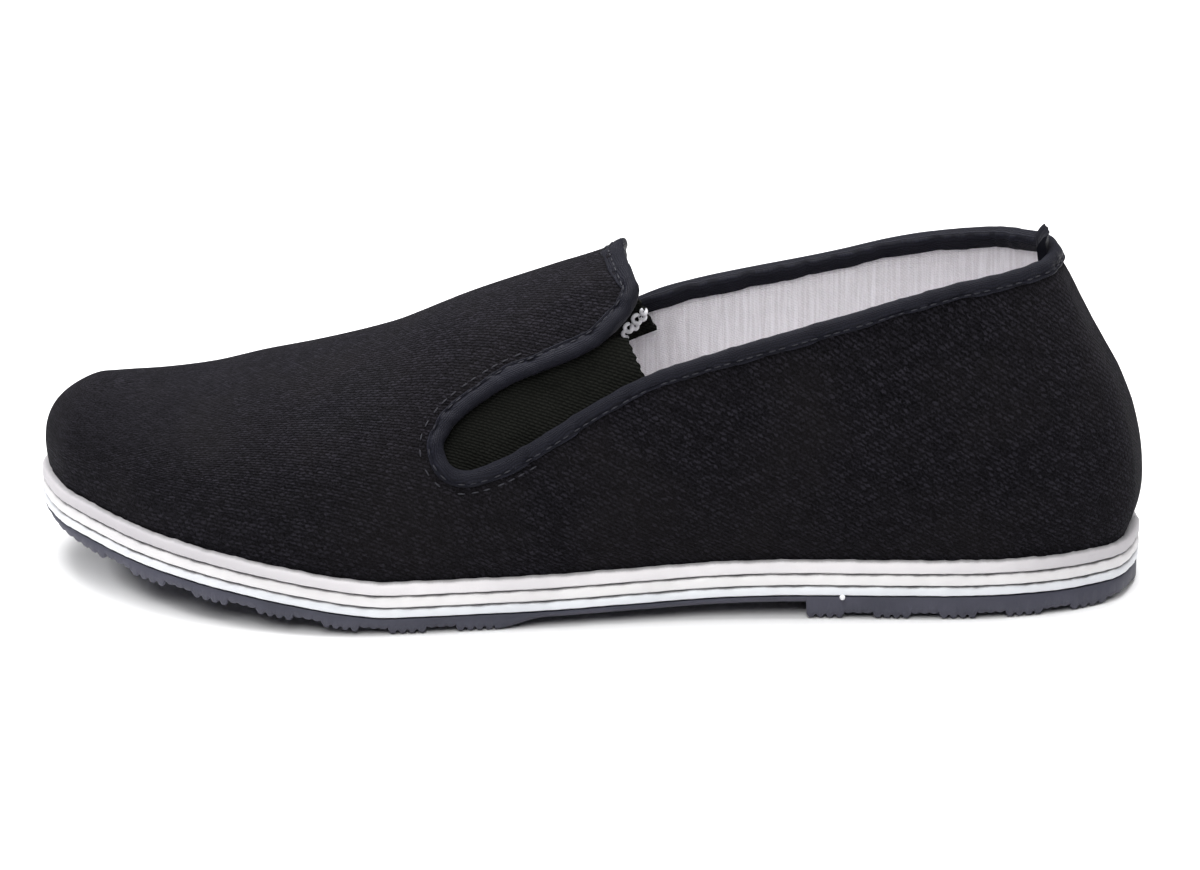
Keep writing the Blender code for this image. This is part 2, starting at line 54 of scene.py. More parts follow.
import bmesh
import bpy
import numpy as np
from mathutils import Vector

PHOTO_WIDTH = 1200
FOCAL_PIXELS = 4630
SENSOR_WIDTH = 36.0
CAMERA_DISTANCE = 1.150
CAMERA_HEIGHT_ANGLE = radians(20.0)
CAMERA_TURN = radians(2.5)
CAMERA_TARGET = Vector((0.0031, 0.0001, 0.0350))


def place_camera():
    data = bpy.data.cameras.new("photo_camera")
    data.sensor_width = SENSOR_WIDTH
    data.lens = SENSOR_WIDTH * FOCAL_PIXELS / PHOTO_WIDTH
    camera = bpy.data.objects.new("photo_camera", data)
    level = cos(CAMERA_HEIGHT_ANGLE)
    away = Vector((sin(CAMERA_TURN) * level, -cos(CAMERA_TURN) * level, sin(CAMERA_HEIGHT_ANGLE)))
    camera.location = CAMERA_TARGET + CAMERA_DISTANCE * away
    camera.rotation_euler = away.to_track_quat("Z", "Y").to_euler()
    bpy.context.scene.collection.objects.link(camera)
    bpy.context.scene.camera = camera
    print(f"Camera: {data.lens:.1f} mm lens at {CAMERA_DISTANCE:.2f} m")


place_camera()

# %% [markdown]
# A shoe is built on a last, a solid in the shape of the foot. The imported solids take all
# their curves from one, given as a row of numbers for each cross section. The same rows
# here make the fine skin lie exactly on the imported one. NumPy works out thousands of
# points at once, where plain Python would take minutes.

# %% Sizes of the last and the sole
LENGTH = 0.275
BALL_WIDTH = 0.0958
TOE_SPRING = 0.0106
TOPLINE_HEIGHT = 0.0845
INSTEP_RISE = 0.832 * TOPLINE_HEIGHT
TOE_RISE = 0.0238
HEEL_RUBBER = 0.0054
FOREFOOT_RUBBER = 0.0037
LOWER_LAYER = 0.0023
UPPER_LAYER = 0.0028
WELT_LAYER = 0.0032
SEAT_GAP = 0.0003
WALL = 0.0020
FEATHER_INSET = 0.0019
BELLY = 0.0030
BELLY_HEIGHT = 0.0190

Section = namedtuple("Section", "along lateral medial ridge shift climb squareness belly")
SECTIONS = tuple(Section(*row) for row in (
    (0.000, 0.134, 0.134, 0.080, 0.10, 0.000, 2.80, 0.50),
    (0.020, -0.221, 0.520, 0.082, 0.10, 0.002, 2.75, 0.50),
    (0.050, -0.430, 0.687, 0.092, 0.10, 0.006, 2.60, 0.45),
    (0.100, -0.660, 0.843, 0.118, 0.10, 0.032, 2.40, 0.45),
    (0.150, -0.823, 0.944, 0.155, 0.10, 0.092, 2.30, 0.45),
    (0.200, -0.927, 0.990, 0.200, 0.10, 0.200, 2.25, 0.50),
    (0.250, -0.985, 1.000, 0.249, 0.10, 0.310, 2.20, 0.55),
    (0.300, -1.000, 0.969, 0.298, 0.09, 0.437, 2.20, 0.60),
    (0.350, -0.969, 0.916, 0.346, 0.08, 0.570, 2.20, 0.70),
    (0.400, -0.921, 0.843, 0.393, 0.07, 0.698, 2.25, 0.80),
    (0.470, -0.850, 0.745, 0.461, 0.06, 0.853, 2.35, 0.90),
    (0.548, -0.763, 0.676, 0.527, 0.05, 1.000, 2.60, 0.95),
    (0.620, -0.700, 0.672, 0.590, 0.05, 1.250, 2.65, 0.95),
    (0.700, -0.670, 0.708, 0.650, 0.05, 1.550, 2.30, 0.95),
    (0.780, -0.660, 0.739, 0.705, 0.05, 1.620, 2.10, 0.95),
    (0.850, -0.639, 0.739, 0.750, 0.05, 1.555, 1.92, 0.98),
    (0.910, -0.566, 0.670, 0.772, 0.05, 1.530, 1.88, 1.00),
    (0.955, -0.445, 0.535, 0.778, 0.05, 1.530, 1.76, 1.10),
    (0.985, -0.285, 0.370, 0.776, 0.05, 1.533, 1.73, 1.12),
    (1.000, 0.050, 0.050, 0.775, 0.05, 1.533, 1.72, 1.14),
))
LAST_ROW = len(SECTIONS) - 1

Lie = namedtuple("Lie", "along heel spring")
SOLE_LIE = tuple(Lie(*row) for row in (
    (0.00, 0.0, 1.090), (0.05, 0.0, 0.950), (0.10, 0.0, 0.750), (0.15, 0.0, 0.595),
    (0.20, 0.0, 0.438), (0.25, 0.0, 0.265), (0.30, 0.0, 0.083), (0.335, 0.0, 0.000),
    (0.38, 0.0, 0.000), (0.45, 0.0, 0.000), (0.55, 0.33, 0.000), (0.62, 0.77, 0.000),
    (0.69, 1.0, 0.000), (1.00, 1.0, 0.000),
))
print(f"Last: {len(SECTIONS)} sections over {LENGTH * 1000:.0f} mm")

# %% [markdown]
# Three small functions turn the rows into curves: a smooth closed loop round the sole, a
# smooth open line for the cloth's edge, and a smooth value along the shoe for the height
# at which the sole lies.

# %% Smooth curves through the rows


def blend_four(a, b, c, d, f):
    """Smooth step from b to c, with a and d as the neighbours"""
    return b + 0.5 * f * (c - a + f * (2 * a - 5 * b + 4 * c - d + f * (3 * (b - c) + d - a)))


def closed_spline(values, at):
    start = np.floor(at).astype(int)
    a, b, c, d = (values[(start + k) % len(values)] for k in (-1, 0, 1, 2))
    return blend_four(a, b, c, d, at - start)


def open_spline(points, at):
    last = len(points) - 1
    start = np.clip(np.floor(at).astype(int), 0, last - 1)
    a, b, c, d = (points[np.clip(start + k, 0, last)] for k in (-1, 0, 1, 2))
    return blend_four(a, b, c, d, (at - start)[:, None])


def table_slopes(stations, values):
    slopes = np.zeros(len(values))
    for k in range(len(values)):
        before, after = max(k - 1, 0), min(k + 1, len(values) - 1)
        level = before < k < after and (values[after] - values[k]) * (values[k] - values[before]) <= 0
        slopes[k] = 0.0 if level else (values[after] - values[before]) / (stations[after] - stations[before])
    return slopes


def table_value(rows, column, along):
    stations = np.array([row.along for row in rows])
    values = np.array([getattr(row, column) for row in rows])
    slopes = table_slopes(stations, values)
    i = np.clip(np.searchsorted(stations, along, side="right") - 1, 0, len(rows) - 2)
    width = stations[i + 1] - stations[i]
    f = np.clip((along - stations[i]) / width, 0.0, 1.0)
    rise, start, end = values[i + 1] - values[i], slopes[i] * width, slopes[i + 1] * width
    return values[i] + f * start + f * f * (3 * rise - 2 * start - end) + f ** 3 * (start + end - 2 * rise)


def round_loop(lateral, medial):
    """A value of each section round the whole sole: lateral side back, medial forward"""
    return np.array(list(lateral) + list(medial)[-2:0:-1])


def both_sides(column):
    values = [getattr(row, column) for row in SECTIONS]
    return round_loop(values, values)


OUTLINE_X = (both_sides("along") - 0.5) * LENGTH
OUTLINE_Y = round_loop([row.lateral for row in SECTIONS], [row.medial for row in SECTIONS])
RIDGE_X = (both_sides("ridge") - 0.5) * LENGTH
RIDGE_SHIFT = both_sides("shift") * BALL_WIDTH / 2
CLIMB, SQUARENESS, FULLNESS = both_sides("climb"), both_sides("squareness"), both_sides("belly")
WIDEST = closed_spline(OUTLINE_Y, np.arange(12 * len(OUTLINE_Y)) / 12)
Y_SCALE = BALL_WIDTH / (WIDEST.max() - WIDEST.min())
Y_MIDDLE = (WIDEST.max() + WIDEST.min()) / 2
print(f"Sole outline: {BALL_WIDTH * 1000:.1f} mm across the ball")

# %% [markdown]
# Any point of the last is found from two numbers: w counts the sections back along the
# outer side (and forward along the inner side when negative), and phi climbs from 0 at
# the feather line, where cloth meets sole, to 1 at the ridge. Each section is a
# superellipse, which is squarer at the toe and rounder at the heel. The photographed heel
# is up to 2.5 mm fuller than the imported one, so its back is moved out by that much here.

# %% Surface of the last
HEEL_FILL_X = (0.086, 0.114)
HEEL_FILL_Z = (0.020, 0.029, 0.039, 0.046, 0.055, 0.061, 0.067, 0.073, 0.079, 0.086)
HEEL_FILL = (0.0003, 0.0005, 0.0013, 0.0018, 0.0018, 0.0012, 0.0009, 0.0012, 0.0020, 0.0025)
HEEL_PHI = 0.3


def sole_lie(x):
    along = x / LENGTH + 0.5
    heel = table_value(SOLE_LIE, "heel", along)
    spring = table_value(SOLE_LIE, "spring", along)
    return FOREFOOT_RUBBER + (HEEL_RUBBER - FOREFOOT_RUBBER) * heel + TOE_SPRING * spring


def layer_bottom(index):
    layers = (LOWER_LAYER, UPPER_LAYER, WELT_LAYER)
    return sum(layers[:index]) + SEAT_GAP * (index + 1)


def feather_height(x):
    return sole_lie(x) + layer_bottom(3)


def outline(w, inset=0.0):
    """Points of the sole's edge at z = 0"""
    def at(v):
        y = (closed_spline(OUTLINE_Y, v) - Y_MIDDLE) * Y_SCALE
        return np.stack([closed_spline(OUTLINE_X, v), y, np.zeros_like(y)], axis=-1)
    tangent = at(w + 0.02) - at(w - 0.02)
    tangent /= np.linalg.norm(tangent, axis=-1, keepdims=True)
    inward = np.stack([-tangent[..., 1], tangent[..., 0], np.zeros_like(w)], axis=-1)
    return at(w) + np.asarray(inset)[..., None] * inward


def smooth_step(x, start, end):
    f = np.clip((x - start) / (end - start), 0.0, 1.0)
    return f * f * (3.0 - 2.0 * f)


def surface(w, phi):
    w, phi = np.broadcast_arrays(np.asarray(w, float), np.asarray(phi, float))
    w, phi = np.where(phi > 1.0, -w, w), np.where(phi > 1.0, 2.0 - phi, phi)
    foot = outline(w, np.full_like(w, FEATHER_INSET))
    foot[..., 2] = feather_height(closed_spline(OUTLINE_X, w))
    ridge_x = closed_spline(RIDGE_X, w)
    rise = TOE_RISE + (INSTEP_RISE - TOE_RISE) * closed_spline(CLIMB, w)
    power = 2.0 / closed_spline(SQUARENESS, w)
    up = np.sin(phi * pi / 2) ** power
    over = 1.0 - np.maximum(np.cos(phi * pi / 2), 0.0) ** power
    across = np.stack([ridge_x, closed_spline(RIDGE_SHIFT, w), np.zeros_like(w)], axis=-1) - foot
    across[..., 2] = 0.0
    point = foot + across * over[..., None]
    level = rise * up / BELLY_HEIGHT
    belly = BELLY * closed_spline(FULLNESS, w) * level * np.exp(1.0 - level) * (1.0 - over)
    point -= across / np.linalg.norm(across, axis=-1, keepdims=True) * belly[..., None]
    point[..., 2] = foot[..., 2] + (feather_height(ridge_x) - foot[..., 2]) * up + rise * up
    at_heel = smooth_step(point[..., 0], *HEEL_FILL_X)
    point[..., 0] += at_heel * np.interp(point[..., 2], HEEL_FILL_Z, HEEL_FILL)
    return point


def normal(w, phi):
    step_w, step_phi = 0.01, 0.002
    phi = np.clip(phi, step_phi, 2.0 - step_phi)
    along = surface(w + step_w, phi) - surface(w - step_w, phi)
    upward = surface(w, phi + step_phi) - surface(w, phi - step_phi)
    out = np.cross(along, upward)
    return out / np.linalg.norm(out, axis=-1, keepdims=True)


heel_back = surface(float(LAST_ROW), HEEL_PHI)
print(f"Back of the heel: x = {heel_back[0] * 1000:.1f} mm")

# %% [markdown]
# The cloth ends in one free edge. It drops from the heel along the collar, turns round the
# end of the elastic's slot and climbs over the corner of the tongue. Its shape is drawn as
# seen from the side, so each of its points has to be found on the last by halving. The
# inner side shows over the outer one in the photograph. There its collar stands a little
# higher beside the tongue, and its corner of the tongue lies further forward.

# %% Free edge of the cloth
# Each place is a share of the length and a share of the topline's height
COLLAR_EDGE = (
    (0.913, 1.000), (0.889, 0.990), (0.864, 0.980), (0.820, 0.956),
    (0.776, 0.923), (0.733, 0.884), (0.690, 0.845), (0.646, 0.805),
    (0.603, 0.764), (0.559, 0.716), (0.508, 0.632), (0.465, 0.549),
    (0.427, 0.485),
)
SLOT_EDGE = (
    (0.122, 0.462), (0.034, 0.488), (0.000, 0.536), (0.036, 0.584),
    (0.130, 0.634),
)
TONGUE_EDGE = (
    (0.435, 0.706), (0.484, 0.768), (0.509, 0.807), (0.528, 0.856),
    (0.540, 0.906), (0.543, 0.942),
)
SLOT_LENGTH = 0.0473
SLOT_BACK = 0.548
SLOT_TIP = len(COLLAR_EDGE) + 2
TONGUE_TOP = 0.526
MEDIAL_SETBACK = 0.0045
MEDIAL_LIFT = 0.0030
LIFT_STARTS = (-0.014, 0.008)
LIFT_ENDS = (0.014, 0.066)
HALVINGS = 30
SIDES = ("lateral", "medial")


def seek(value, low, high, target):
    """Where a rising function meets the targets"""
    low, high = np.full_like(target, low), np.full_like(target, high)
    for _ in range(HALVINGS):
        middle = (low + high) / 2
        short = value(middle) < target
        low, high = np.where(short, middle, low), np.where(short, high, middle)
    return (low + high) / 2


def side_sign(side):
    return 1.0 if side == "lateral" else -1.0


def phi_at_height(w, z):
    low, high = surface(w, 0.0)[..., 2], surface(w, 1.0)[..., 2]
    up = np.clip((z - low) / (high - low), 0.0, 1.0)
    return 2 / pi * np.arcsin(up ** (closed_spline(SQUARENESS, w) / 2))


def locate(side, x, z):
    """Section and phi of the points that are seen at x, z from that side"""
    def seen_x(t):
        w = side_sign(side) * t
        return surface(w, phi_at_height(w, z))[..., 0]
    t = seek(seen_x, 0.0, float(LAST_ROW), x)
    return t, phi_at_height(side_sign(side) * t, z)


def edge_points(steps):
    """The edge seen from the side, as x and z"""
    end = SLOT_BACK - SLOT_LENGTH / LENGTH
    slot = tuple((end + along * SLOT_LENGTH / LENGTH, height) for along, height in SLOT_EDGE)
    rows = np.array(COLLAR_EDGE + slot + TONGUE_EDGE)
    rows = np.stack([(rows[:, 0] - 0.5) * LENGTH, rows[:, 1] * TOPLINE_HEIGHT], axis=-1)
    return open_spline(rows, np.linspace(0, len(rows) - 1, steps * (len(rows) - 1) + 1))


def ridge_station():
    return float(seek(lambda t: closed_spline(RIDGE_X, t), 0.0, float(LAST_ROW),
                      np.array((TONGUE_TOP - 0.5) * LENGTH)))


def free_edge(side, steps):
    """The edge of one side as t and phi, in two lines that meet at the slot's end"""
    points = edge_points(steps)
    tip = steps * SLOT_TIP
    if side == "medial":
        share = np.clip((np.arange(len(points)) - tip) / (len(points) - 1 - tip), 0.0, 1.0)
        x = points[:, 0].copy()
        points[:, 0] -= MEDIAL_SETBACK * share ** 2
        lift = smooth_step(x, *LIFT_STARTS) * (1.0 - smooth_step(x, *LIFT_ENDS))
        points[:, 1] += MEDIAL_LIFT * lift * (np.arange(len(points)) < tip)
    t, phi = locate(side, points[:, 0], points[:, 1])
    t[0], phi[0] = LAST_ROW, phi_at_height(np.array(float(LAST_ROW)), TOPLINE_HEIGHT)
    places = np.stack([t, phi], axis=-1)
    return places[:tip + 1], places[tip:]


def up_the_tongue(low, high, share):
    """Places on lines from low to high, which they meet square to the ridge"""
    eased = np.stack([share * (2.0 - share), share], axis=-1)
    return low + (high - low) * eased


lower_edge, upper_edge = free_edge("lateral", 2)
print(f"Free edge: {len(lower_edge)} + {len(upper_edge)} places on the outer side")

# %% [markdown]
# Twill has ribs that slant over the cloth. They have to follow the cloth round the last,
# so each point carries two lengths: how far along the shoe it is, and how far across the
# ribs. The slant grows from nothing at the toe to about thirty degrees at the heel.

# %% Weave lengths on the last
RIB_SLOPE_TOE = 0.04
RIB_SLOPE_HEEL = 0.56
SLANT_START = -0.100
SLANT_END = -0.015
HEEL_TURN_ROW = 0.6 * LAST_ROW
RIDGE_LENGTH = 0.110
FOOT_PHI = 0.1
STEPS_ACROSS = 60


def extra_length():
    """How much longer the sole's edge is than its advance in x, toe to heel, by section"""
    t = np.linspace(0.0, LAST_ROW, 40 * LAST_ROW + 1)
    step = np.diff(outline(t), axis=0)
    extra = np.where(t[1:] > HEEL_TURN_ROW, np.hypot(step[:, 0], step[:, 1]) - step[:, 0], 0.0)
    return t, np.concatenate([[0.0], np.cumsum(extra)])


EXTRA_T, EXTRA = extra_length()
SLANT_X = np.linspace(-LENGTH, LENGTH, 800)
SLANT = RIB_SLOPE_TOE + (RIB_SLOPE_HEEL - RIB_SLOPE_TOE) * smooth_step(SLANT_X, SLANT_START, SLANT_END)
SLANT_RISE = np.cumsum(SLANT) * (SLANT_X[1] - SLANT_X[0])


def weave_lengths(w, phi):
    """Length along the shoe and length across the ribs, for places w, phi"""
    shares = np.linspace(0.0, 1.0, STEPS_ACROSS + 1)
    lines = surface(w[:, None], shares[None, :])
    steps = np.diff(lines, axis=1)
    climbed = np.cumsum(np.hypot(steps[..., 1], steps[..., 2]), axis=1)
    climbed = np.concatenate([np.zeros((len(w), 1)), climbed], axis=1)
    at = np.clip(phi, 0.0, 1.0) * STEPS_ACROSS
    k = np.clip(at.astype(int), 0, STEPS_ACROSS - 1)
    every = np.arange(len(w))
    height = climbed[every, k] + (climbed[every, k + 1] - climbed[every, k]) * (at - k)
    from_foot = lines[:, 0, 2] + height
    from_ridge = RIDGE_LENGTH - (climbed[:, -1] - height)
    share = smooth_step(phi, FOOT_PHI, 1.0)
    along = surface(w, phi)[:, 0] + np.interp(np.abs(w), EXTRA_T, EXTRA)
    return along, from_foot + (from_ridge - from_foot) * share + np.interp(along, SLANT_X, SLANT_RISE)


print(f"The heel's curve adds {EXTRA[-1] * 1000:.1f} mm to the cloth's length")

# %% [markdown]
# New cloth over a last is nearly smooth, but never dead smooth. Its main creases are set
# here in the shoe's own sizes: each is a line seen from the side, with a depth and
# a width, and it fades out at both ends. A negative depth is a ridge. The cloth is also
# gathered in short soft folds where it is tucked in at the toe and heel.

# %% Creases of the cloth
Crease = namedtuple("Crease", "side start end depth width")
CREASES = tuple(Crease(*row) for row in (
    ("lateral", (-0.044, 0.034), (-0.072, 0.024), 0.00055, 0.0070),
    ("lateral", (-0.050, 0.046), (-0.078, 0.040), -0.00040, 0.0080),
    ("lateral", (-0.030, 0.030), (0.004, 0.034), -0.00045, 0.0060),
    ("lateral", (-0.036, 0.063), (-0.006, 0.074), -0.00040, 0.0070),
    ("lateral", (0.012, 0.046), (0.070, 0.058), 0.00045, 0.0110),
    ("lateral", (0.022, 0.026), (0.084, 0.034), 0.00040, 0.0090),
    ("lateral", (0.098, 0.062), (0.113, 0.030), -0.00035, 0.0080),
    ("lateral", (-0.102, 0.044), (-0.070, 0.040), 0.00035, 0.0090),
    ("lateral", (-0.088, 0.030), (-0.060, 0.021), -0.00035, 0.0060),
    ("medial", (-0.044, 0.034), (-0.070, 0.026), 0.00055, 0.0070),
    ("medial", (-0.048, 0.047), (-0.076, 0.042), -0.00040, 0.0080),
    ("medial", (-0.028, 0.030), (0.008, 0.035), -0.00045, 0.0060),
    ("medial", (-0.034, 0.063), (-0.008, 0.073), -0.00040, 0.0070),
    ("medial", (0.010, 0.044), (0.074, 0.060), 0.00050, 0.0110),
    ("medial", (0.096, 0.060), (0.112, 0.034), -0.00035, 0.0080),
    ("medial", (0.020, 0.028), (0.066, 0.030), 0.00040, 0.0080),
))
GATHER_PITCH = 0.0052
GATHER_DEPTH = 0.00016
GATHER_REACH = 0.0060
GATHER_BEAT = 310.0
GATHER_ENDS = (0.070, 0.115)
GATHER_WAIST = 0.35
BACK_SEAM_X = 0.08
BACK_SEAM_DEPTH = 0.00035
BACK_SEAM_WIDTH = 0.0009


def crease_depths(points):
    """Depth of all the creases at each point"""
    depth = np.zeros(len(points))
    for crease in CREASES:
        shares = np.linspace(0.0, 1.0, 9)[:, None]
        line = np.array(crease.start) * (1 - shares) + np.array(crease.end) * shares
        t, phi = locate(crease.side, line[:, 0], line[:, 1])
        line = surface(side_sign(crease.side) * t, phi)
        reach = np.linalg.norm(points[:, None, :] - line[None, :, :], axis=-1)
        nearest, best = reach.argmin(axis=1), reach.min(axis=1)
        fade = np.sin((nearest + 0.5) / len(line) * pi) ** 0.5
        depth += crease.depth * fade * np.exp(-(best / crease.width) ** 2)
    return depth


def relief(w, phi, points):
    """How far the cloth lies below the last's smooth form, with gathers at the feather line"""
    depth = crease_depths(points)
    rise = np.maximum(points[:, 2] - feather_height(points[:, 0]), 0.0)
    around = np.interp(np.abs(w), EXTRA_T, EXTRA) * 2.0 + points[:, 0] - points[:, 1] * 0.6
    folds = np.sin(around / GATHER_PITCH * 2 * pi) * (0.6 + 0.4 * np.sin(around * GATHER_BEAT))
    ends = GATHER_WAIST + (1 - GATHER_WAIST) * smooth_step(np.abs(points[:, 0]), *GATHER_ENDS)
    depth += GATHER_DEPTH * folds * np.exp(-(rise / GATHER_REACH) ** 2) * ends
    at_back = np.where(points[:, 0] > BACK_SEAM_X, np.abs(points[:, 1] - heel_back[1]), 1.0)
    return depth + BACK_SEAM_DEPTH * np.exp(-(at_back / BACK_SEAM_WIDTH) ** 2)


print(f"{len(CREASES)} creases placed by hand")

# %% [markdown]
# A piece of cloth is a grid of faces over the last, moved in by the creases and then given
# its thickness by a Solidify modifier. The quarter's rows rise from the sole to the free
# edge, and the vamp's rows run from there up to the ridge, so the edge is a line of the
# mesh and stays clean.

# %% Grids of cloth on the last
TOE_DIVIDE = 0.52
MERGE = 0.00001


def dividing_edges(side, steps, front):
    """Upper line of the quarter and lower line of the vamp, from the toe back"""
    lower, upper = free_edge(side, steps)
    tip_t, tip_phi = lower[-1]
    t = tip_t * np.arange(front) / front
    divide = np.stack([t, TOE_DIVIDE + (tip_phi - TOE_DIVIDE) * (t / tip_t) ** 2], axis=-1)
    return np.concatenate([divide, lower[::-1]]), np.concatenate([divide, upper])


def cloth_grids(side, steps, front, quarter_rows, vamp_rows):
    """Quarter and vamp of one side as arrays of (w, phi), row by row upwards"""
    quarter_top, vamp_foot = dividing_edges(side, steps, front)
    shares = np.arange(quarter_rows + 1) / quarter_rows
    quarter = np.stack([np.broadcast_to(quarter_top[:, 0], (len(shares), len(quarter_top))),
                        shares[:, None] * quarter_top[:, 1]], axis=-1)
    reference = dividing_edges("lateral", steps, front)[1][:, 0]
    ridge = np.stack([ridge_station() * reference / reference[-1], np.ones(len(reference))], axis=-1)
    vamp = np.stack([up_the_tongue(vamp_foot, ridge, np.full(len(ridge), share))
                     for share in np.arange(vamp_rows + 1) / vamp_rows])
    sign = np.array([side_sign(side), 1.0])
    return quarter * sign, vamp * sign


def quads_between(loops, around, closed=False):
    """Faces between neighbouring loops of points; closed joins the last loop to the first"""
    return [(i * around + j, i * around + (j + 1) % around,
             (i + 1) % loops * around + (j + 1) % around, (i + 1) % loops * around + j)
            for i in range(loops if closed else loops - 1) for j in range(around)]


def new_mesh(name, points, faces, weave=None, merged=False, turned=False, sharp=None):
    """Smooth mesh; merged joins points that meet, turned makes the faces look outwards"""
    mesh = bpy.data.meshes.new(name)
    mesh.from_pydata(points.reshape(-1, 3).tolist(), [], faces)
    if weave is not None:
        lengths = mesh.attributes.new("weave", "FLOAT_VECTOR", "POINT")
        lengths.data.foreach_set("vector", weave.ravel())
    if merged or turned:
        shape = bmesh.new()
        shape.from_mesh(mesh)
        if merged:
            bmesh.ops.remove_doubles(shape, verts=shape.verts, dist=MERGE)
        if turned:
            bmesh.ops.recalc_face_normals(shape, faces=shape.faces)
        shape.to_mesh(mesh)
        shape.free()
    mesh.shade_smooth()
    if sharp is not None:
        mesh.set_sharp_from_angle(angle=sharp)
    return mesh


def mesh_from_shape(name, shape):
    mesh = bpy.data.meshes.new(name)
    shape.to_mesh(mesh)
    shape.free()
    mesh.shade_smooth()
    return mesh


def mesh_from_grids(name, grids):
    """One mesh over several grids; each grid is (places, points, flipped)"""
    points, faces, lengths = [], [], []
    base = 0
    for places, spots, flipped in grids:
        rows, columns = places.shape[:2]
        index = base + np.arange(rows * columns).reshape(rows, columns)
        a, b, c, d = index[:-1, :-1], index[:-1, 1:], index[1:, 1:], index[1:, :-1]
        corners = (a, d, c, b) if flipped else (a, b, c, d)
        faces.append(np.stack([corner.ravel() for corner in corners], axis=-1))
        points.append(spots.reshape(-1, 3))
        flat = places.reshape(-1, 2)
        lengths.append(np.stack([*weave_lengths(flat[:, 0], flat[:, 1]), np.zeros(len(flat))], axis=-1))
        base += rows * columns
    return new_mesh(name, np.concatenate(points), np.concatenate(faces).tolist(),
                    np.concatenate(lengths), merged=True)


def dress(name, data, material, slot, *nodes):
    """Adds a piece, gives it its finish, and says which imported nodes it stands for"""
    data.materials.append(material)
    piece = bpy.data.objects.new(name, data)
    bpy.context.scene.collection.objects.link(piece)
    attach(piece, "root")
    if nodes:
        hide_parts(*nodes)
    print(f"{name}: finish {material.name}, in place of {', '.join(nodes) or 'no packed node'}")
    return piece


def thicken(piece, thickness):
    """Gives a sheet its thickness, inwards"""
    solid = piece.modifiers.new("Thickness", "SOLIDIFY")
    solid.thickness = thickness
    solid.offset = -1.0


print(f"Points closer than {MERGE * 1000} mm become one")

# %% [markdown]
# Several finishes share the same effects. Each effect is a node group, built once, with
# named sockets, and every material puts in its own values. Woven ribs come from simple
# arithmetic on the two lengths: the remainder of across / pitch makes a rounded rib, and
# the remainder of along / float breaks it into the short floats of the yarn, each rib a
# step further on, which is what makes it twill.

# %% Helpers for node trees


def add_node(tree, kind, **settings):
    node = tree.nodes.new(kind)
    for key, value in settings.items():
        setattr(node, key, value)
    return node


def wire(tree, value, socket):
    """Links a socket, or sets a plain value"""
    if isinstance(value, bpy.types.NodeSocket):
        tree.links.new(value, socket)
    else:
        socket.default_value = value


def compute(tree, operation, *values):
    """Result of one operation; a value may be another operation, given as a tuple"""
    node = add_node(tree, "ShaderNodeMath", operation=operation)
    for socket, value in zip(node.inputs, values):
        wire(tree, compute(tree, *value) if isinstance(value, tuple) else value, socket)
    return node.outputs[0]


def parts_of(tree, vector):
    """The X, Y and Z of a vector"""
    node = add_node(tree, "ShaderNodeSeparateXYZ")
    wire(tree, vector, node.inputs[0])
    return node.outputs


def noise(tree, place, scale, detail=2.0, roughness=0.5):
    node = add_node(tree, "ShaderNodeTexNoise")
    wire(tree, place, node.inputs["Vector"])
    wire(tree, scale, node.inputs["Scale"])
    wire(tree, detail, node.inputs["Detail"])
    wire(tree, roughness, node.inputs["Roughness"])
    return node.outputs["Fac"]


def blend_colours(tree, share, low, high):
    node = add_node(tree, "ShaderNodeMix", data_type="RGBA")
    wire(tree, share, node.inputs["Factor"])
    wire(tree, low, node.inputs[6])
    wire(tree, high, node.inputs[7])
    return node.outputs[2]


def remap(tree, value, low, high):
    """Soft step of a value from low to high"""
    node = add_node(tree, "ShaderNodeMapRange", interpolation_type="SMOOTHSTEP")
    wire(tree, value, node.inputs["Value"])
    wire(tree, low, node.inputs["From Min"])
    wire(tree, high, node.inputs["From Max"])
    return node.outputs["Result"]


def new_group(name, inputs, outputs):
    """Empty node group; sockets are given as (name, kind, value)"""
    tree = bpy.data.node_groups.new(name, "ShaderNodeTree")
    for label, kind, value in inputs:
        socket = tree.interface.new_socket(label, in_out="INPUT", socket_type=f"NodeSocket{kind}")
        if value is not None:
            socket.default_value = value
    for label, kind in outputs:
        tree.interface.new_socket(label, in_out="OUTPUT", socket_type=f"NodeSocket{kind}")
    return tree, tree.nodes.new("NodeGroupInput").outputs, tree.nodes.new("NodeGroupOutput").inputs


def use_group(tree, group, **values):
    """Places a group in a tree; an underscore in a value's name stands for a space"""
    node = add_node(tree, "ShaderNodeGroup", node_tree=group)
    for label, value in values.items():
        wire(tree, value, node.inputs[label.replace("_", " ")])
    return node.outputs


print("Helpers: compute, noise, blend_colours, remap, new_group, use_group")

# %% Woven ribs
DRIFTS = ((420.0, 2.0), (1500.0, 1.0))
FLOAT_FULLNESS = 0.6
CREST_FROM_TO = (0.25, 0.9)


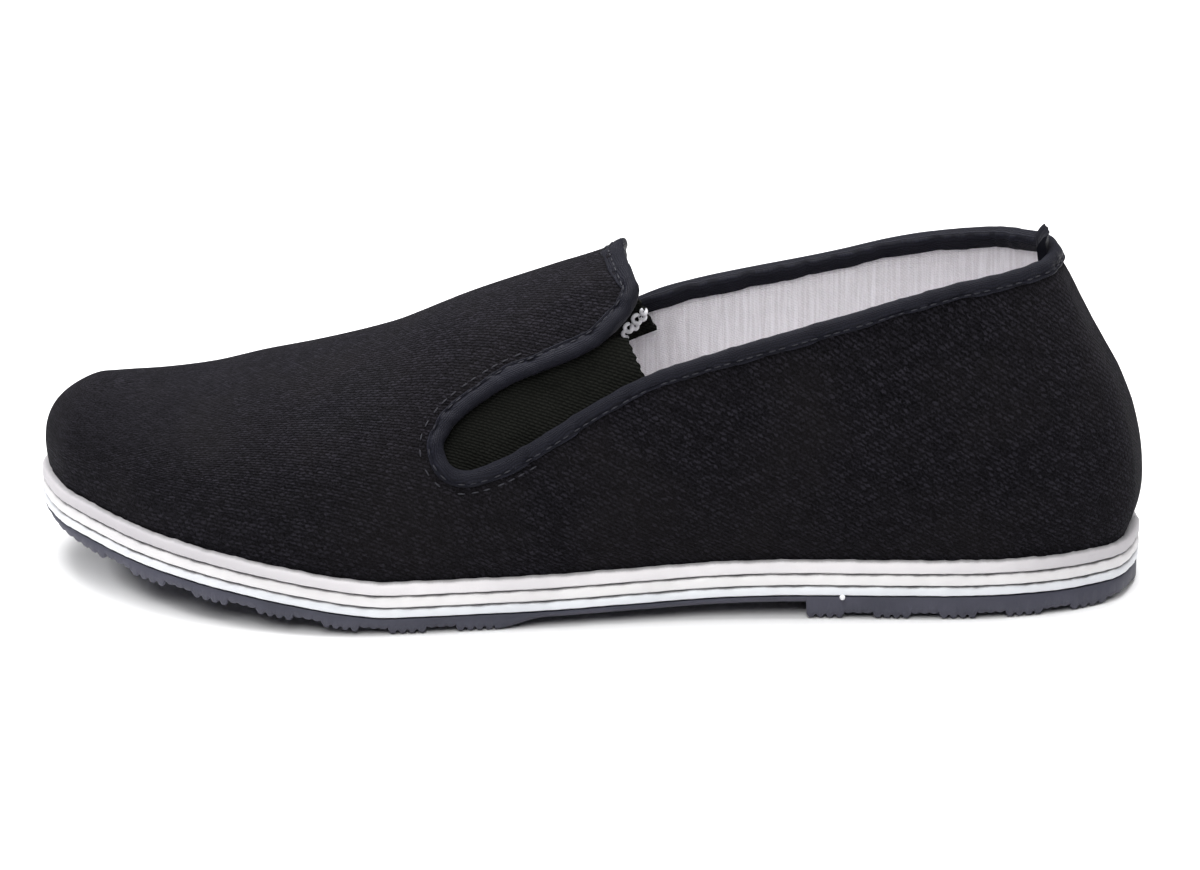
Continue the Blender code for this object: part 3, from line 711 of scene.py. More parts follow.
def make_woven_ribs():
    tree, given, out = new_group(
        "Woven Ribs",
        [("Weave", "Vector", None), ("Rib Pitch", "Float", 0.001), ("Float Length", "Float", 0.002),
         ("Step", "Float", 0.38), ("Unevenness", "Float", 0.3), ("Float Depth", "Float", 0.5)],
        [("Height", "Float"), ("Crest", "Float"), ("Yarn", "Float")])
    place = parts_of(tree, given["Weave"])
    slow, quick = (("SUBTRACT", noise(tree, given["Weave"], scale, detail), 0.5) for scale, detail in DRIFTS)
    drift = compute(tree, "MULTIPLY", ("ADD", slow, quick), given["Unevenness"])
    rib = compute(tree, "ADD", ("DIVIDE", place["Y"], given["Rib Pitch"]), drift)
    count = compute(tree, "FLOOR", rib)
    along = compute(tree, "ADD", ("DIVIDE", place["X"], given["Float Length"]),
                    ("MULTIPLY", count, given["Step"]))
    along = compute(tree, "ADD", along, drift)
    dome = compute(tree, "SINE", ("MULTIPLY", ("FRACT", rib), pi))
    float_dome = compute(tree, "POWER", ("SINE", ("MULTIPLY", ("FRACT", along), pi)), FLOAT_FULLNESS)
    dip = compute(tree, "MULTIPLY", ("SUBTRACT", 1.0, float_dome), given["Float Depth"])
    height = compute(tree, "MULTIPLY", dome, ("SUBTRACT", 1.0, dip))
    wire(tree, height, out["Height"])
    wire(tree, remap(tree, height, *CREST_FROM_TO), out["Crest"])
    cell = add_node(tree, "ShaderNodeCombineXYZ")
    wire(tree, compute(tree, "FLOOR", along), cell.inputs["X"])
    wire(tree, count, cell.inputs["Y"])
    yarn = add_node(tree, "ShaderNodeTexWhiteNoise", noise_dimensions="2D")
    wire(tree, cell.outputs[0], yarn.inputs["Vector"])
    wire(tree, yarn.outputs["Value"], out["Yarn"])
    return tree


WOVEN_RIBS = make_woven_ribs()
print("Woven ribs:", [item.name for item in WOVEN_RIBS.interface.items_tree])

# %% [markdown]
# Nothing real is one even colour. The second group gives soft clouds of light and dark, a
# fine fuzz for nap or rubber grain, and a scatter of tiny specks for lint and dust.

# %% Clouds, fuzz and specks


def make_unevenness():
    tree, given, out = new_group(
        "Unevenness",
        [("Place", "Vector", None), ("Cloud Size", "Float", 0.02), ("Fuzz Size", "Float", 0.0004),
         ("Speck Spacing", "Float", 0.012), ("Speck Size", "Float", 0.0003)],
        [("Cloud", "Float"), ("Fuzz", "Float"), ("Speck", "Float")])
    for label, roughness in (("Cloud", 0.55), ("Fuzz", 0.65)):
        scale = compute(tree, "DIVIDE", 1.0, given[f"{label} Size"])
        wire(tree, noise(tree, given["Place"], scale, 3.0, roughness), out[label])
    cells = add_node(tree, "ShaderNodeTexVoronoi")
    wire(tree, given["Place"], cells.inputs["Vector"])
    wire(tree, compute(tree, "DIVIDE", 1.0, given["Speck Spacing"]), cells.inputs["Scale"])
    wire(tree, 1.0, cells.inputs["Randomness"])
    near = compute(tree, "LESS_THAN", cells.outputs["Distance"],
                   ("DIVIDE", given["Speck Size"], given["Speck Spacing"]))
    wire(tree, near, out["Speck"])
    return tree


UNEVENNESS = make_unevenness()
print("Unevenness:", [item.name for item in UNEVENNESS.interface.items_tree])

# %% [markdown]
# Every material starts the same way. What is one number for the whole surface is set on
# the shader's own sockets, and only what varies from place to place comes from nodes.

# %% Start of a material
Finish = namedtuple("Finish", "material tree shader place")


def start_finish(name, roughness=None, sheen=0.0, sheen_roughness=0.5, sheen_tint=(1.0, 1.0, 1.0),
                 shine=0.5):
    """Material with its shader; plain numbers are set on the shader's own sockets"""
    material = bpy.data.materials.new(name)
    material.use_nodes = True
    tree = material.node_tree
    shader = tree.nodes["Principled BSDF"]
    if roughness is not None:
        shader.inputs["Roughness"].default_value = roughness
    shader.inputs["Specular IOR Level"].default_value = shine
    shader.inputs["Sheen Weight"].default_value = sheen
    shader.inputs["Sheen Roughness"].default_value = sheen_roughness
    shader.inputs["Sheen Tint"].default_value = (*sheen_tint, 1.0)
    place = add_node(tree, "ShaderNodeTexCoord").outputs["Object"]
    return Finish(material, tree, shader, place)


def weave_of(finish):
    return add_node(finish.tree, "ShaderNodeAttribute", attribute_name="weave").outputs["Vector"]


def woven(finish, **values):
    return use_group(finish.tree, WOVEN_RIBS, Weave=weave_of(finish), **values)


def uneven(finish, **values):
    return use_group(finish.tree, UNEVENNESS, Place=finish.place, **values)


def complete(finish, colour, height, distance):
    """Gives the shader its colour and its small relief, and hands over the material"""
    wire(finish.tree, colour, finish.shader.inputs["Base Color"])
    node = add_node(finish.tree, "ShaderNodeBump")
    node.inputs["Strength"].default_value = 1.0
    node.inputs["Distance"].default_value = distance
    wire(finish.tree, height, node.inputs["Height"])
    wire(finish.tree, node.outputs["Normal"], finish.shader.inputs["Normal"])
    return finish.material


print("A finish holds:", ", ".join(Finish._fields))

# %% [markdown]
# The upper is cotton twill, dyed black. Dyed cotton is never pure black: crests of the
# yarn catch dust and light and look a dark bluish grey, and the furrows stay deep. Sheen
# stands for the short fibres that stick out and catch light along the tops of the forms.

# %% Black twill
FURROW_BLACK = (0.0002, 0.0002, 0.0003, 1.0)
CREST_GREY = (0.0215, 0.0200, 0.0262, 1.0)
WORN_BROWN = (0.0110, 0.0098, 0.0100, 1.0)
LINT_GREY = (0.30, 0.30, 0.32, 1.0)


def make_black_twill():
    finish = start_finish("black_twill", 0.95, sheen=0.022, sheen_roughness=0.35,
                          sheen_tint=(0.85, 0.82, 1.0), shine=0.05)
    tree = finish.tree
    ribs = woven(finish, Rib_Pitch=0.00112, Float_Length=0.0017, Step=0.38, Unevenness=0.95,
                 Float_Depth=0.85)
    broad = uneven(finish, Cloud_Size=0.030, Fuzz_Size=0.00045, Speck_Spacing=0.020, Speck_Size=0.00017)
    small = uneven(finish, Cloud_Size=0.0036, Fuzz_Size=0.0009, Speck_Spacing=0.045, Speck_Size=0.00022)
    yarns = ("MULTIPLY", ribs["Crest"], ("ADD", 0.15, ribs["Yarn"]))
    nap = ("MULTIPLY", remap(tree, broad["Fuzz"], 0.3, 0.8), 0.45)
    patchy = ("ADD", 0.70, ("MULTIPLY", small["Cloud"], 0.60))
    crest = compute(tree, "MULTIPLY", ("ADD", ("MULTIPLY", yarns, 0.50), nap), patchy)
    colour = blend_colours(tree, crest, FURROW_BLACK, CREST_GREY)
    worn = compute(tree, "MULTIPLY", remap(tree, broad["Cloud"], 0.35, 0.70), 0.35)
    colour = blend_colours(tree, worn, colour, WORN_BROWN)
    colour = blend_colours(tree, broad["Speck"], colour, LINT_GREY)
    height = compute(tree, "ADD", ribs["Height"], ("MULTIPLY", broad["Fuzz"], 0.9))
    return complete(finish, colour, height, 0.00032)


BLACK_TWILL = make_black_twill()
print("Finish:", BLACK_TWILL.name)

# %% [markdown]
# The lining is undyed cotton, bleached to a cool white. It is a plain weave with slubs,
# thicker places in the yarn, that show as fine upright lines.

# %% White lining
SHADED_WHITE = (0.74, 0.72, 0.75, 1.0)
SLUB_WHITE = (0.93, 0.92, 0.96, 1.0)
CREST_WHITE = (0.93, 0.92, 0.95, 1.0)
CLOUD_WHITE = (0.72, 0.66, 0.67, 1.0)
SLUB_STRETCH = (1.0, 0.04, 1.0)


def make_white_lining():
    finish = start_finish("white_lining", 0.92, sheen=0.15)
    tree = finish.tree
    plain = woven(finish, Rib_Pitch=0.0007, Float_Length=0.0008, Step=0.5, Unevenness=0.7, Float_Depth=0.8)
    upright = add_node(tree, "ShaderNodeMapping")
    upright.inputs["Scale"].default_value = SLUB_STRETCH
    wire(tree, weave_of(finish), upright.inputs["Vector"])
    slubs = noise(tree, upright.outputs[0], 1100.0, 3.0, 0.7)
    clouds = uneven(finish, Cloud_Size=0.025, Fuzz_Size=0.0006, Speck_Spacing=0.030, Speck_Size=0.0001)
    colour = blend_colours(tree, remap(tree, slubs, 0.35, 0.68), SHADED_WHITE, SLUB_WHITE)
    colour = blend_colours(tree, compute(tree, "MULTIPLY", plain["Crest"], 0.5), colour, CREST_WHITE)
    colour = blend_colours(tree, compute(tree, "MULTIPLY", clouds["Cloud"], 0.2), colour, CLOUD_WHITE)
    height = compute(tree, "ADD", plain["Height"], ("MULTIPLY", slubs, 1.4))
    return complete(finish, colour, height, 0.00018)


WHITE_LINING = make_white_lining()
print("Finish:", WHITE_LINING.name)

# %% [markdown]
# The upper's two cloths are made now: the outer twill, with all its creases, and the
# lining 1.1 mm inside it. Both stop at the same free edge, where the tape will cover them.

# %% Twill upper and lining
TWILL = 0.0010
LINING_DEPTH = 0.0011
LINING = 0.0009
TUCK = 0.0003
AT_FOOT = 1e-6


def relieved(places, depth):
    """Points of the creased cloth, the given depth inside the last"""
    flat = places.reshape(-1, 2)
    w = np.where(flat[:, 1] > 1.0, -flat[:, 0], flat[:, 0])
    points = surface(w, flat[:, 1])
    sunk = relief(w, flat[:, 1], points) + depth
    points = points - normal(w, flat[:, 1]) * sunk[:, None]
    points[:, 2] -= TUCK * (flat[:, 1] < AT_FOOT)
    return points.reshape(*places.shape[:2], 3)


def make_cloth(name, depth, thickness, material, slot, steps, front, quarter_rows, vamp_rows):
    grids = []
    for side in SIDES:
        for places in cloth_grids(side, steps, front, quarter_rows, vamp_rows):
            grids.append((places, relieved(places, depth), side == "medial"))
    mesh = mesh_from_grids(name, grids)
    thicken(dress(name, mesh, material, slot, "upper"), thickness)


make_cloth("twill_upper", 0.0, TWILL, BLACK_TWILL, "black_twill", 6, 80, 40, 34)
make_cloth("cotton_lining", LINING_DEPTH, LINING, WHITE_LINING, "sock_cotton", 3, 30, 20, 16)

# %% [markdown]
# The collar is bound with a folded tape. Its section is drawn once and carried along the
# whole edge: a roll over the edge, a furrow where the stitches pull it in, and a hem. The
# tape is cut straight, so where the edge turns it puckers in short cross folds.

# %% Finish of tape, elastic and thread


def make_smooth_cloth(name, dark, light, roughness, pitch, depth, shine=0.15):
    """Finish of the tape, the elastic and the insole: ribs of one pitch over soft clouds"""
    finish = start_finish(name, roughness, sheen=0.01, sheen_roughness=0.4, shine=shine)
    tree = finish.tree
    ribs = woven(finish, Rib_Pitch=pitch, Float_Length=pitch * 1.4, Step=0.5, Unevenness=0.6,
                 Float_Depth=0.6)
    soft = uneven(finish, Cloud_Size=0.008, Fuzz_Size=0.0005, Speck_Spacing=0.03, Speck_Size=0.0001)
    share = compute(tree, "ADD", ("MULTIPLY", ribs["Crest"], 0.5), ("MULTIPLY", soft["Cloud"], 0.5))
    colour = blend_colours(tree, share, dark, light)
    return complete(finish, colour, compute(tree, "ADD", ribs["Height"], soft["Fuzz"]), depth)


BLACK_TAPE = make_smooth_cloth(
    "black_tape", (0.0030, 0.0030, 0.0046, 1.0), (0.0125, 0.0128, 0.0205, 1.0), 0.50, 0.0005, 0.00012, 0.07)
BLACK_ELASTIC = make_smooth_cloth(
    "black_elastic", (0.0015, 0.0018, 0.0014, 1.0), (0.0140, 0.0145, 0.0125, 1.0),
    0.90, 0.0010, 0.00025, 0.03)
BLACK_THREAD = make_smooth_cloth(
    "black_thread", (0.020, 0.020, 0.025, 1.0), (0.050, 0.050, 0.060, 1.0), 0.50, 0.0004, 0.00005)
WHITE_THREAD = make_smooth_cloth(
    "white_thread", (0.80, 0.80, 0.83, 1.0), (0.97, 0.97, 0.99, 1.0), 0.80, 0.0004, 0.00008)
print("Smooth cloths:", BLACK_TAPE.name, BLACK_ELASTIC.name, BLACK_THREAD.name, WHITE_THREAD.name)

# %% Tape round the collar
Ring = namedtuple("Ring", "points out into along lengths phi")
EDGE_STEP = 0.0008
TAPE_SECTION_MM = (
    (3.00, 0.16), (3.02, 0.52), (2.78, 0.74), (2.50, 0.62), (2.30, 0.40), (2.10, 0.52), (1.70, 0.86),
    (1.10, 1.08), (0.40, 1.14), (-0.30, 1.02), (-0.80, 0.66), (-1.08, 0.10), (-1.14, -0.70),
    (-1.10, -1.50), (-0.90, -2.20), (-0.40, -2.75), (0.60, -3.02), (1.80, -3.00), (3.00, -2.90),
    (3.20, -2.60), (3.00, -2.14), (0.00, -2.12), (-0.25, -1.90), (-0.25, -0.10), (0.00, 0.14),
)
EDGE_STEPS = 10
TONGUE_STEPS = 30
TURN_REACH = 6
PUCKER = 0.00012
PUCKER_IN_TURNS = 0.00022
TUCK_DEPTH = 0.00028
SLOW_WANDER = 0.00022
QUICK_WANDER = 0.00016
PUCKER_INWARD = 0.6
HEM_START = 0.0020
HEM_END = 0.0026
TONGUE_PHI = (0.70, 0.90)
TONGUE_HEM = 0.0014
FLATTER_OUTSIDE = 0.45
FLATTER_INSIDE = 0.26


def edge_ring():
    """The whole free edge at even steps, with its outward, inward and forward directions"""
    halves = []
    for side in SIDES:
        lower, upper = free_edge(side, EDGE_STEPS)
        top = np.array([ridge_station(), 1.0])
        back = np.stack([up_the_tongue(upper[-1], top, np.array(share))
                         for share in np.linspace(0, 1, TONGUE_STEPS)])
        places = np.concatenate([lower, upper[1:], back[1:]]) * np.array([side_sign(side), 1.0])
        points = surface(places[:, 0], places[:, 1])
        run = np.concatenate([[0.0], np.cumsum(np.linalg.norm(np.diff(points, axis=0), axis=1))])
        even = np.linspace(0.0, run[-1], int(run[-1] / EDGE_STEP))
        halves.append(np.stack([np.interp(even, run, places[:, k]) for k in (0, 1)], axis=-1))
    places = np.concatenate([halves[0], halves[1][-2:0:-1]])
    points = surface(places[:, 0], places[:, 1])
    out = normal(places[:, 0], places[:, 1])
    along = np.roll(points, -1, axis=0) - np.roll(points, 1, axis=0)
    along /= np.linalg.norm(along, axis=1, keepdims=True)
    return Ring(points, out, np.cross(out, along), along, np.arange(len(points)) * EDGE_STEP,
                places[:, 1])


RING = edge_ring()
TURN = np.linalg.norm(np.roll(RING.along, -TURN_REACH, axis=0) - np.roll(RING.along, TURN_REACH, axis=0),
                      axis=1)


def make_tape():
    section = np.array(TAPE_SECTION_MM) * 0.001
    s = RING.lengths
    folds = np.sin(s * 900 + 1.6 * np.sin(s * 170)) * np.sin(s * 233 + 1.0)
    tucks = np.maximum(np.sin(s * 640 + 2.4 * np.sin(s * 131)), 0.0) ** 3
    pucker = folds * (PUCKER + PUCKER_IN_TURNS * np.clip(TURN, 0.0, 1.0)) - TUCK_DEPTH * tucks
    wander = SLOW_WANDER * np.sin(s * 95) + QUICK_WANDER * np.sin(s * 410 + 2.0)
    at_tongue = smooth_step(RING.phi, *TONGUE_PHI)[:, None]
    in_hem = section[:, 0] > HEM_START
    into = section[None, :, 0] + wander[:, None] * in_hem + PUCKER_INWARD * pucker[:, None]
    into += TONGUE_HEM * at_tongue * in_hem
    flatter = at_tongue * np.where(section[:, 1] > 0.0, FLATTER_OUTSIDE, FLATTER_INSIDE)
    out = section[None, :, 1] * (1.0 - flatter)
    out = out + pucker[:, None] * (section[:, 0] < HEM_END) * np.sign(section[:, 1])
    lines = RING.points[:, None] + RING.into[:, None] * into[..., None] + RING.out[:, None] * out[..., None]
    lengths = np.zeros_like(lines)
    lengths[..., 0] = s[:, None]
    lengths[..., 1] = into + out
    faces = quads_between(*lines.shape[:2], closed=True)
    mesh = new_mesh("collar_tape", lines, faces, lengths, turned=True)
    dress("collar_tape", mesh, BLACK_TAPE, "black_tape", "edge_binding")


make_tape()

# %% [markdown]
# A lockstitch holds the tape: short threads lie in its furrow, and a second row runs
# round the end of each slot. Each stitch is a small rounded bar, laid along the edge.

# %% Stitches
STITCH_PITCH = 0.0027
STITCH_LENGTH = 0.0019
STITCH_RADIUS = 0.00019
TAPE_ROW = (0.0023, 0.00055)
SLOT_ROW = (0.0045, 0.00010)
SLOT_ROW_END = -0.012


def add_stitches(name, centres, alongs, outs):
    shape = bmesh.new()
    for centre, along, out in zip(centres, alongs, outs):
        made = bmesh.ops.create_uvsphere(shape, u_segments=8, v_segments=6, radius=1.0)["verts"]
        side = np.cross(out, along)
        for vert in made:
            place = (along * vert.co.x * STITCH_LENGTH / 2 + side * vert.co.y * STITCH_RADIUS
                     + out * vert.co.z * STITCH_RADIUS)
            vert.co = Vector(centre + place)
    dress(name, mesh_from_shape(name, shape), BLACK_THREAD, "black_tape")


def row_of_stitches(name, into, out, chosen):
    """Stitches along the chosen part of the edge, so far in from it and out from the cloth"""
    picks = np.arange(0, len(RING.points), STITCH_PITCH / EDGE_STEP).astype(int)
    picks = picks[chosen[picks]]
    centres = RING.points[picks] + RING.into[picks] * into + RING.out[picks] * out
    add_stitches(name, centres, RING.along[picks], RING.out[picks])


row_of_stitches("tape_stitches", *TAPE_ROW, np.ones(len(RING.points), bool))
row_of_stitches("slot_stitches", *SLOT_ROW, RING.points[:, 0] < SLOT_ROW_END)

# %% [markdown]
# Behind each slot lies a piece of elastic, cut from a knitted strip. It is a small sheet
# on the inside of the last, held by the same stitches, and its free back edge slants.

# %% Elastic inserts
GORE = 0.0011
GORE_MARGIN = 0.0050
GORE_BACK = 0.0045
GORE_SLANT = 0.0075
GORE_CLEAR = 0.0012
GORE_TOP = 0.830 * TOPLINE_HEIGHT
GORE_DEPTH = WALL + 2 * SEAT_GAP + 0.0008
MEDIAL_GORE_SHORTER = 0.0015
FRAY = 0.00022


def gore_places(side, columns=60, rows=26):
    edge = edge_points(12)
    tip = edge[:, 0].argmin()
    end_x = (SLOT_BACK - 0.5) * LENGTH - SLOT_LENGTH
    f, up = np.meshgrid(np.linspace(0, 1, columns + 1), np.linspace(0, 1, rows + 1), indexing="ij")
    back = GORE_BACK - MEDIAL_GORE_SHORTER * (side == "medial")
    x = end_x - GORE_MARGIN + (SLOT_LENGTH + GORE_MARGIN + back) * f
    reach = np.maximum(x[:, 0], end_x + GORE_CLEAR)
    low = np.interp(reach, edge[tip::-1, 0], edge[tip::-1, 1]) - GORE_MARGIN
    high = np.minimum(np.interp(reach, edge[tip:, 0], edge[tip:, 1]) + GORE_MARGIN, GORE_TOP)
    frayed = FRAY * f ** 8 * np.sin(up * 37.0 + 1.3 * np.sin(up * 83.0))
    x = x - GORE_SLANT * f * up + frayed
    t, phi = locate(side, x.ravel(), (low[:, None] + (high - low)[:, None] * up).ravel())
    return np.stack([t * side_sign(side), phi], axis=-1).reshape(columns + 1, rows + 1, 2)


def make_gore(side):
    places = gore_places(side)
    w, phi = places[..., 0].ravel(), places[..., 1].ravel()
    points = (surface(w, phi) - normal(w, phi) * GORE_DEPTH).reshape(*places.shape[:2], 3)
    name = f"elastic_{side}"
    mesh = mesh_from_grids(name, [(places, points, side == "lateral")])
    thicken(dress(name, mesh, BLACK_ELASTIC, "black_elastic", f"gore_{side}"), GORE)


for side in SIDES:
    make_gore(side)

# %% [markdown]
# At the upper back corner of the inner elastic the white lining is turned over and
# whipped down with white thread. The photograph shows six small curls of it. Each is placed
# as it is seen from the side, with the radius of its loop and the angle at which it starts.

# %% Whipping of white thread
Curl = namedtuple("Curl", "x z radius turn")
CURLS = tuple(Curl(*row) for row in (
    (0.0086, 0.0547, 0.0007, 0.2), (0.0092, 0.0566, 0.0009, 1.4), (0.0108, 0.0572, 0.0007, 2.3),
    (0.0112, 0.0592, 0.0010, 0.8), (0.0126, 0.0600, 0.0007, 2.9), (0.0128, 0.0615, 0.0006, 1.9),
))
THREAD = 0.00050
CURL_TURN = 1.7 * pi


def make_whipping():
    curve = bpy.data.curves.new("white_whipping", "CURVE")
    curve.dimensions = "3D"
    curve.bevel_depth = THREAD
    curve.bevel_resolution = 3
    for curl in CURLS:
        t, phi = locate("medial", np.array(curl.x), np.array(curl.z))
        centre = surface(-t, phi) - normal(-t, phi) * (GORE_DEPTH + GORE + THREAD)
        spline = curve.splines.new("POLY")
        angles = np.linspace(curl.turn, curl.turn + CURL_TURN, 24)
        spline.points.add(len(angles) - 1)
        for point, angle in zip(spline.points, angles):
            bend = np.array([cos(angle), 0.4 * sin(2 * angle), 1.2 * sin(angle)])
            point.co = (*(centre + curl.radius * bend), 1.0)
    dress("white_whipping", curve, WHITE_THREAD, "sock_cotton")


make_whipping()

# %% [markdown]
# A loop of tape stands inside the back of the heel, to pull the shoe on. It leans out over
# the collar's tape.

# %% Heel tab
TAB_WIDTH = 0.0100
TAB_PLY = 0.0013
TAB_RISE = 0.0050
TAB_LEAN = 0.0060
TAB_DEPTH = 0.0080
TAB_START = WALL + 4 * SEAT_GAP + 0.0008
LEAN_START = 0.0010
LEAN_HEIGHT = 0.004
TAB_WAVE = 0.00012


def make_heel_tab():
    back = float(LAST_ROW)
    phi = phi_at_height(np.array(back), TOPLINE_HEIGHT)
    out = normal(back, phi)
    up = np.array([-out[2], 0.0, out[0]])
    up /= np.linalg.norm(up)
    bend = np.linspace(0, pi, 12)
    rise = np.concatenate([[-TAB_DEPTH, -TAB_DEPTH / 2], TAB_RISE - TAB_PLY + TAB_PLY * np.sin(bend),
                           [-TAB_DEPTH / 2, -TAB_DEPTH]])
    inward = np.concatenate([[0, 0], TAB_PLY * (1 - np.cos(bend)), [2 * TAB_PLY, 2 * TAB_PLY]])
    inward = inward - TAB_LEAN * np.clip((rise - LEAN_START) / LEAN_HEIGHT, 0.0, 1.0)
    across = np.linspace(-TAB_WIDTH / 2, TAB_WIDTH / 2, 17)
    steps = np.linspace(-1.5, 1.5, 61)
    sideways = surface(back + steps, phi)[:, 1] - surface(back, phi)[1]
    base = surface(back + np.interp(across, sideways, steps), phi)
    soft = TAB_WAVE * np.sin(across * 2100)[:, None, None]
    lines = base[:, None] + up * rise[None, :, None] - out * (TAB_START + inward[None, :, None] + soft)
    count, around = lines.shape[:2]
    ends = [tuple(range(around)), tuple(range((count - 1) * around, count * around))]
    mesh = new_mesh("heel_loop", lines, quads_between(count, around) + ends, turned=True, sharp=0.9)
    dress("heel_loop", mesh, BLACK_TAPE, "black_tape", "heel_tab")


make_heel_tab()

# %% [markdown]
# The sole is built up from flat layers with the same outline. Each is a loop of points
# round its edge at several levels. The white ones are cut and pressed by hand, so their
# edges waver by a fraction of a millimetre, which keeps the lines between them alive.

# %% White rubber and grey rubber
# Painted shade colour for the grooves between the white layers
GROOVE_SHADE_GREY = (0.27, 0.265, 0.275, 1.0)
# Painted shade colour for the toe and heel ends of the white layers
END_SHADE_GREY = (0.33, 0.315, 0.335, 1.0)
DUST = (0.35, 0.34, 0.33, 1.0)
PALE_DUST = (0.45, 0.45, 0.48, 1.0)
SOLE_MIDDLE = 0.018
END_SHADE_FROM_TO = (0.055, 0.125)
GROOVE_SHADE_FROM_TO = (0.40, 0.50)


def make_rubber(name, dark, light, roughness, grain, speck=DUST, groove_shade_amount=0.7, end_shade_amount=0.0):
    """Rubber with dust on it, painted shade in the grooves where layers meet, and painted shade towards the
    toe and heel ends
    """
    finish = start_finish(name)
    tree = finish.tree
    grainy = uneven(finish, Cloud_Size=0.022, Fuzz_Size=grain, Speck_Spacing=0.016, Speck_Size=0.00022)
    colour = blend_colours(tree, remap(tree, grainy["Cloud"], 0.3, 0.7), dark, light)
    colour = blend_colours(tree, compute(tree, "MULTIPLY", grainy["Speck"], 0.7), colour, speck)
    place = parts_of(tree, weave_of(finish))
    to_end = compute(tree, "ABSOLUTE", ("SUBTRACT", place["X"], SOLE_MIDDLE))
    # Painted shade: the white layers are greyed towards the toe and heel ends, where the sole curves round
    # away from the light
    end_shade = compute(tree, "MULTIPLY", remap(tree, to_end, *END_SHADE_FROM_TO), end_shade_amount)
    colour = blend_colours(tree, end_shade, colour, END_SHADE_GREY)
    # Painted shade: each white layer is greyed near its top and bottom edges, where it meets the grooves
    # between layers
    from_edge = ("ABSOLUTE", ("SUBTRACT", place["Z"], 0.5))
    ragged = ("MULTIPLY", ("SUBTRACT", grainy["Fuzz"], 0.5), 0.10)
    groove_shade = remap(tree, compute(tree, "ADD", from_edge, ragged), *GROOVE_SHADE_FROM_TO)
    colour = blend_colours(tree, compute(tree, "MULTIPLY", groove_shade, groove_shade_amount), colour, GROOVE_SHADE_GREY)
    spread = compute(tree, "ADD", ("MULTIPLY", grainy["Fuzz"], 0.25), roughness - 0.12)
    wire(tree, spread, finish.shader.inputs["Roughness"])
    return complete(finish, colour, grainy["Fuzz"], 0.00006)


WELT_WHITE = make_rubber(
    "welt_white", (0.60, 0.58, 0.595, 1.0), (0.69, 0.67, 0.68, 1.0), 0.62, 0.0006, end_shade_amount=0.75)
MIDDLE_WHITE = make_rubber(
    "middle_white", (0.65, 0.635, 0.64, 1.0), (0.73, 0.72, 0.72, 1.0), 0.5, 0.0009, end_shade_amount=0.3)
LOWER_WHITE = make_rubber(
    "lower_white", (0.63, 0.65, 0.68, 1.0), (0.71, 0.73, 0.76, 1.0), 0.42, 0.0009, end_shade_amount=0.25)
SLATE_RUBBER = make_rubber(
    "slate_rubber", (0.028, 0.029, 0.045, 1.0), (0.046, 0.046, 0.068, 1.0), 0.60, 0.0005,
    PALE_DUST, groove_shade_amount=0.0)
print("Rubbers:", WELT_WHITE.name, MIDDLE_WHITE.name, LOWER_WHITE.name, SLATE_RUBBER.name)

# %% Layers of the sole
RING_STEPS = 14
LAYER_SHARP = 0.75
WAVER = 0.00009
ROUGH_WAVER = 0.00010
ROUGH_ENDS = (0.050, 0.100)
WAVER_INWARD = 0.6


def sole_ring(steps=RING_STEPS):
    t = np.linspace(0.0, LAST_ROW, steps * LAST_ROW + 1)
    return np.concatenate([t, -t[-2:0:-1]])


def dress_layer(name, w, insets, heights, rises, material, slot, node):
    """Closed layer from loops of points, with one inset, height and rise for each loop"""
    loops = []
    for inset, height in zip(insets, heights):
        loop = outline(w, np.broadcast_to(inset, w.shape))
        loop[:, 2] = height
        loops.append(loop)
    count = len(w)
    faces = quads_between(len(loops), count)
    for start, up in ((0, False), ((len(loops) - 1) * count, True)):
        for k in range(count // 2):
            face = [start + k, start + k + 1, start + (count - k - 1) % count, start + (count - k) % count]
            face = list(dict.fromkeys(face))
            faces.append(tuple(face if up else face[::-1]))
    points = np.concatenate(loops)
    places = points.copy()
    places[:, 2] = np.repeat(rises, count)
    dress(name, new_mesh(name, points, faces, places, sharp=LAYER_SHARP), material, slot, node)


LAYER_PROFILE = ((0.0009, 0.00), (0.0004, 0.07), (0.0, 0.20), (0.0, 0.5), (0.0001, 0.78), (0.0004, 0.92))
Layer = namedtuple("Layer", "node name slot thickness lean material wave")
LAYERS = tuple(Layer(*row) for row in (
    ("midsole_lower", "lower_layer", "lower_white", LOWER_LAYER, 0.0007, LOWER_WHITE, 3.0),
    ("midsole_upper", "middle_layer", "middle_white", UPPER_LAYER, 0.0007, MIDDLE_WHITE, 1.7),
    ("welt", "welt_layer", "welt_white", WELT_LAYER, 0.0012, WELT_WHITE, 0.4),
))


def make_layers():
    w = sole_ring()
    edge = outline(w)
    around = np.concatenate([[0.0], np.cumsum(np.linalg.norm(np.diff(edge, axis=0), axis=1))])
    for index, layer in enumerate(LAYERS):
        waver = WAVER * (np.sin(around * 420 + layer.wave) + np.sin(around * 1130 + 2 * layer.wave))
        rough = ROUGH_WAVER * np.sin(around * 2300 + 2.0 * np.sin(around * 310))
        waver += rough * smooth_step(np.abs(edge[:, 0]), *ROUGH_ENDS)
        profile = LAYER_PROFILE + ((layer.lean, 1.0),)
        insets = [inset - WAVER_INWARD * waver for inset, rise in profile]
        rises = [rise for inset, rise in profile]
        base = sole_lie(edge[:, 0]) + layer_bottom(index)
        heights = [base + layer.thickness * rise + waver * (rise > 0.9) for rise in rises]
        dress_layer(layer.name, w, insets, heights, rises, layer.material, layer.slot, layer.node)


make_layers()

# %% [markdown]
# One bead of white glue stands below the lower layer in the photograph, over the heel
# block.

# %% Bead of glue
BEAD_X = 0.0636
BEAD_DROP = 0.0002
BEAD_RADIUS = 0.0007


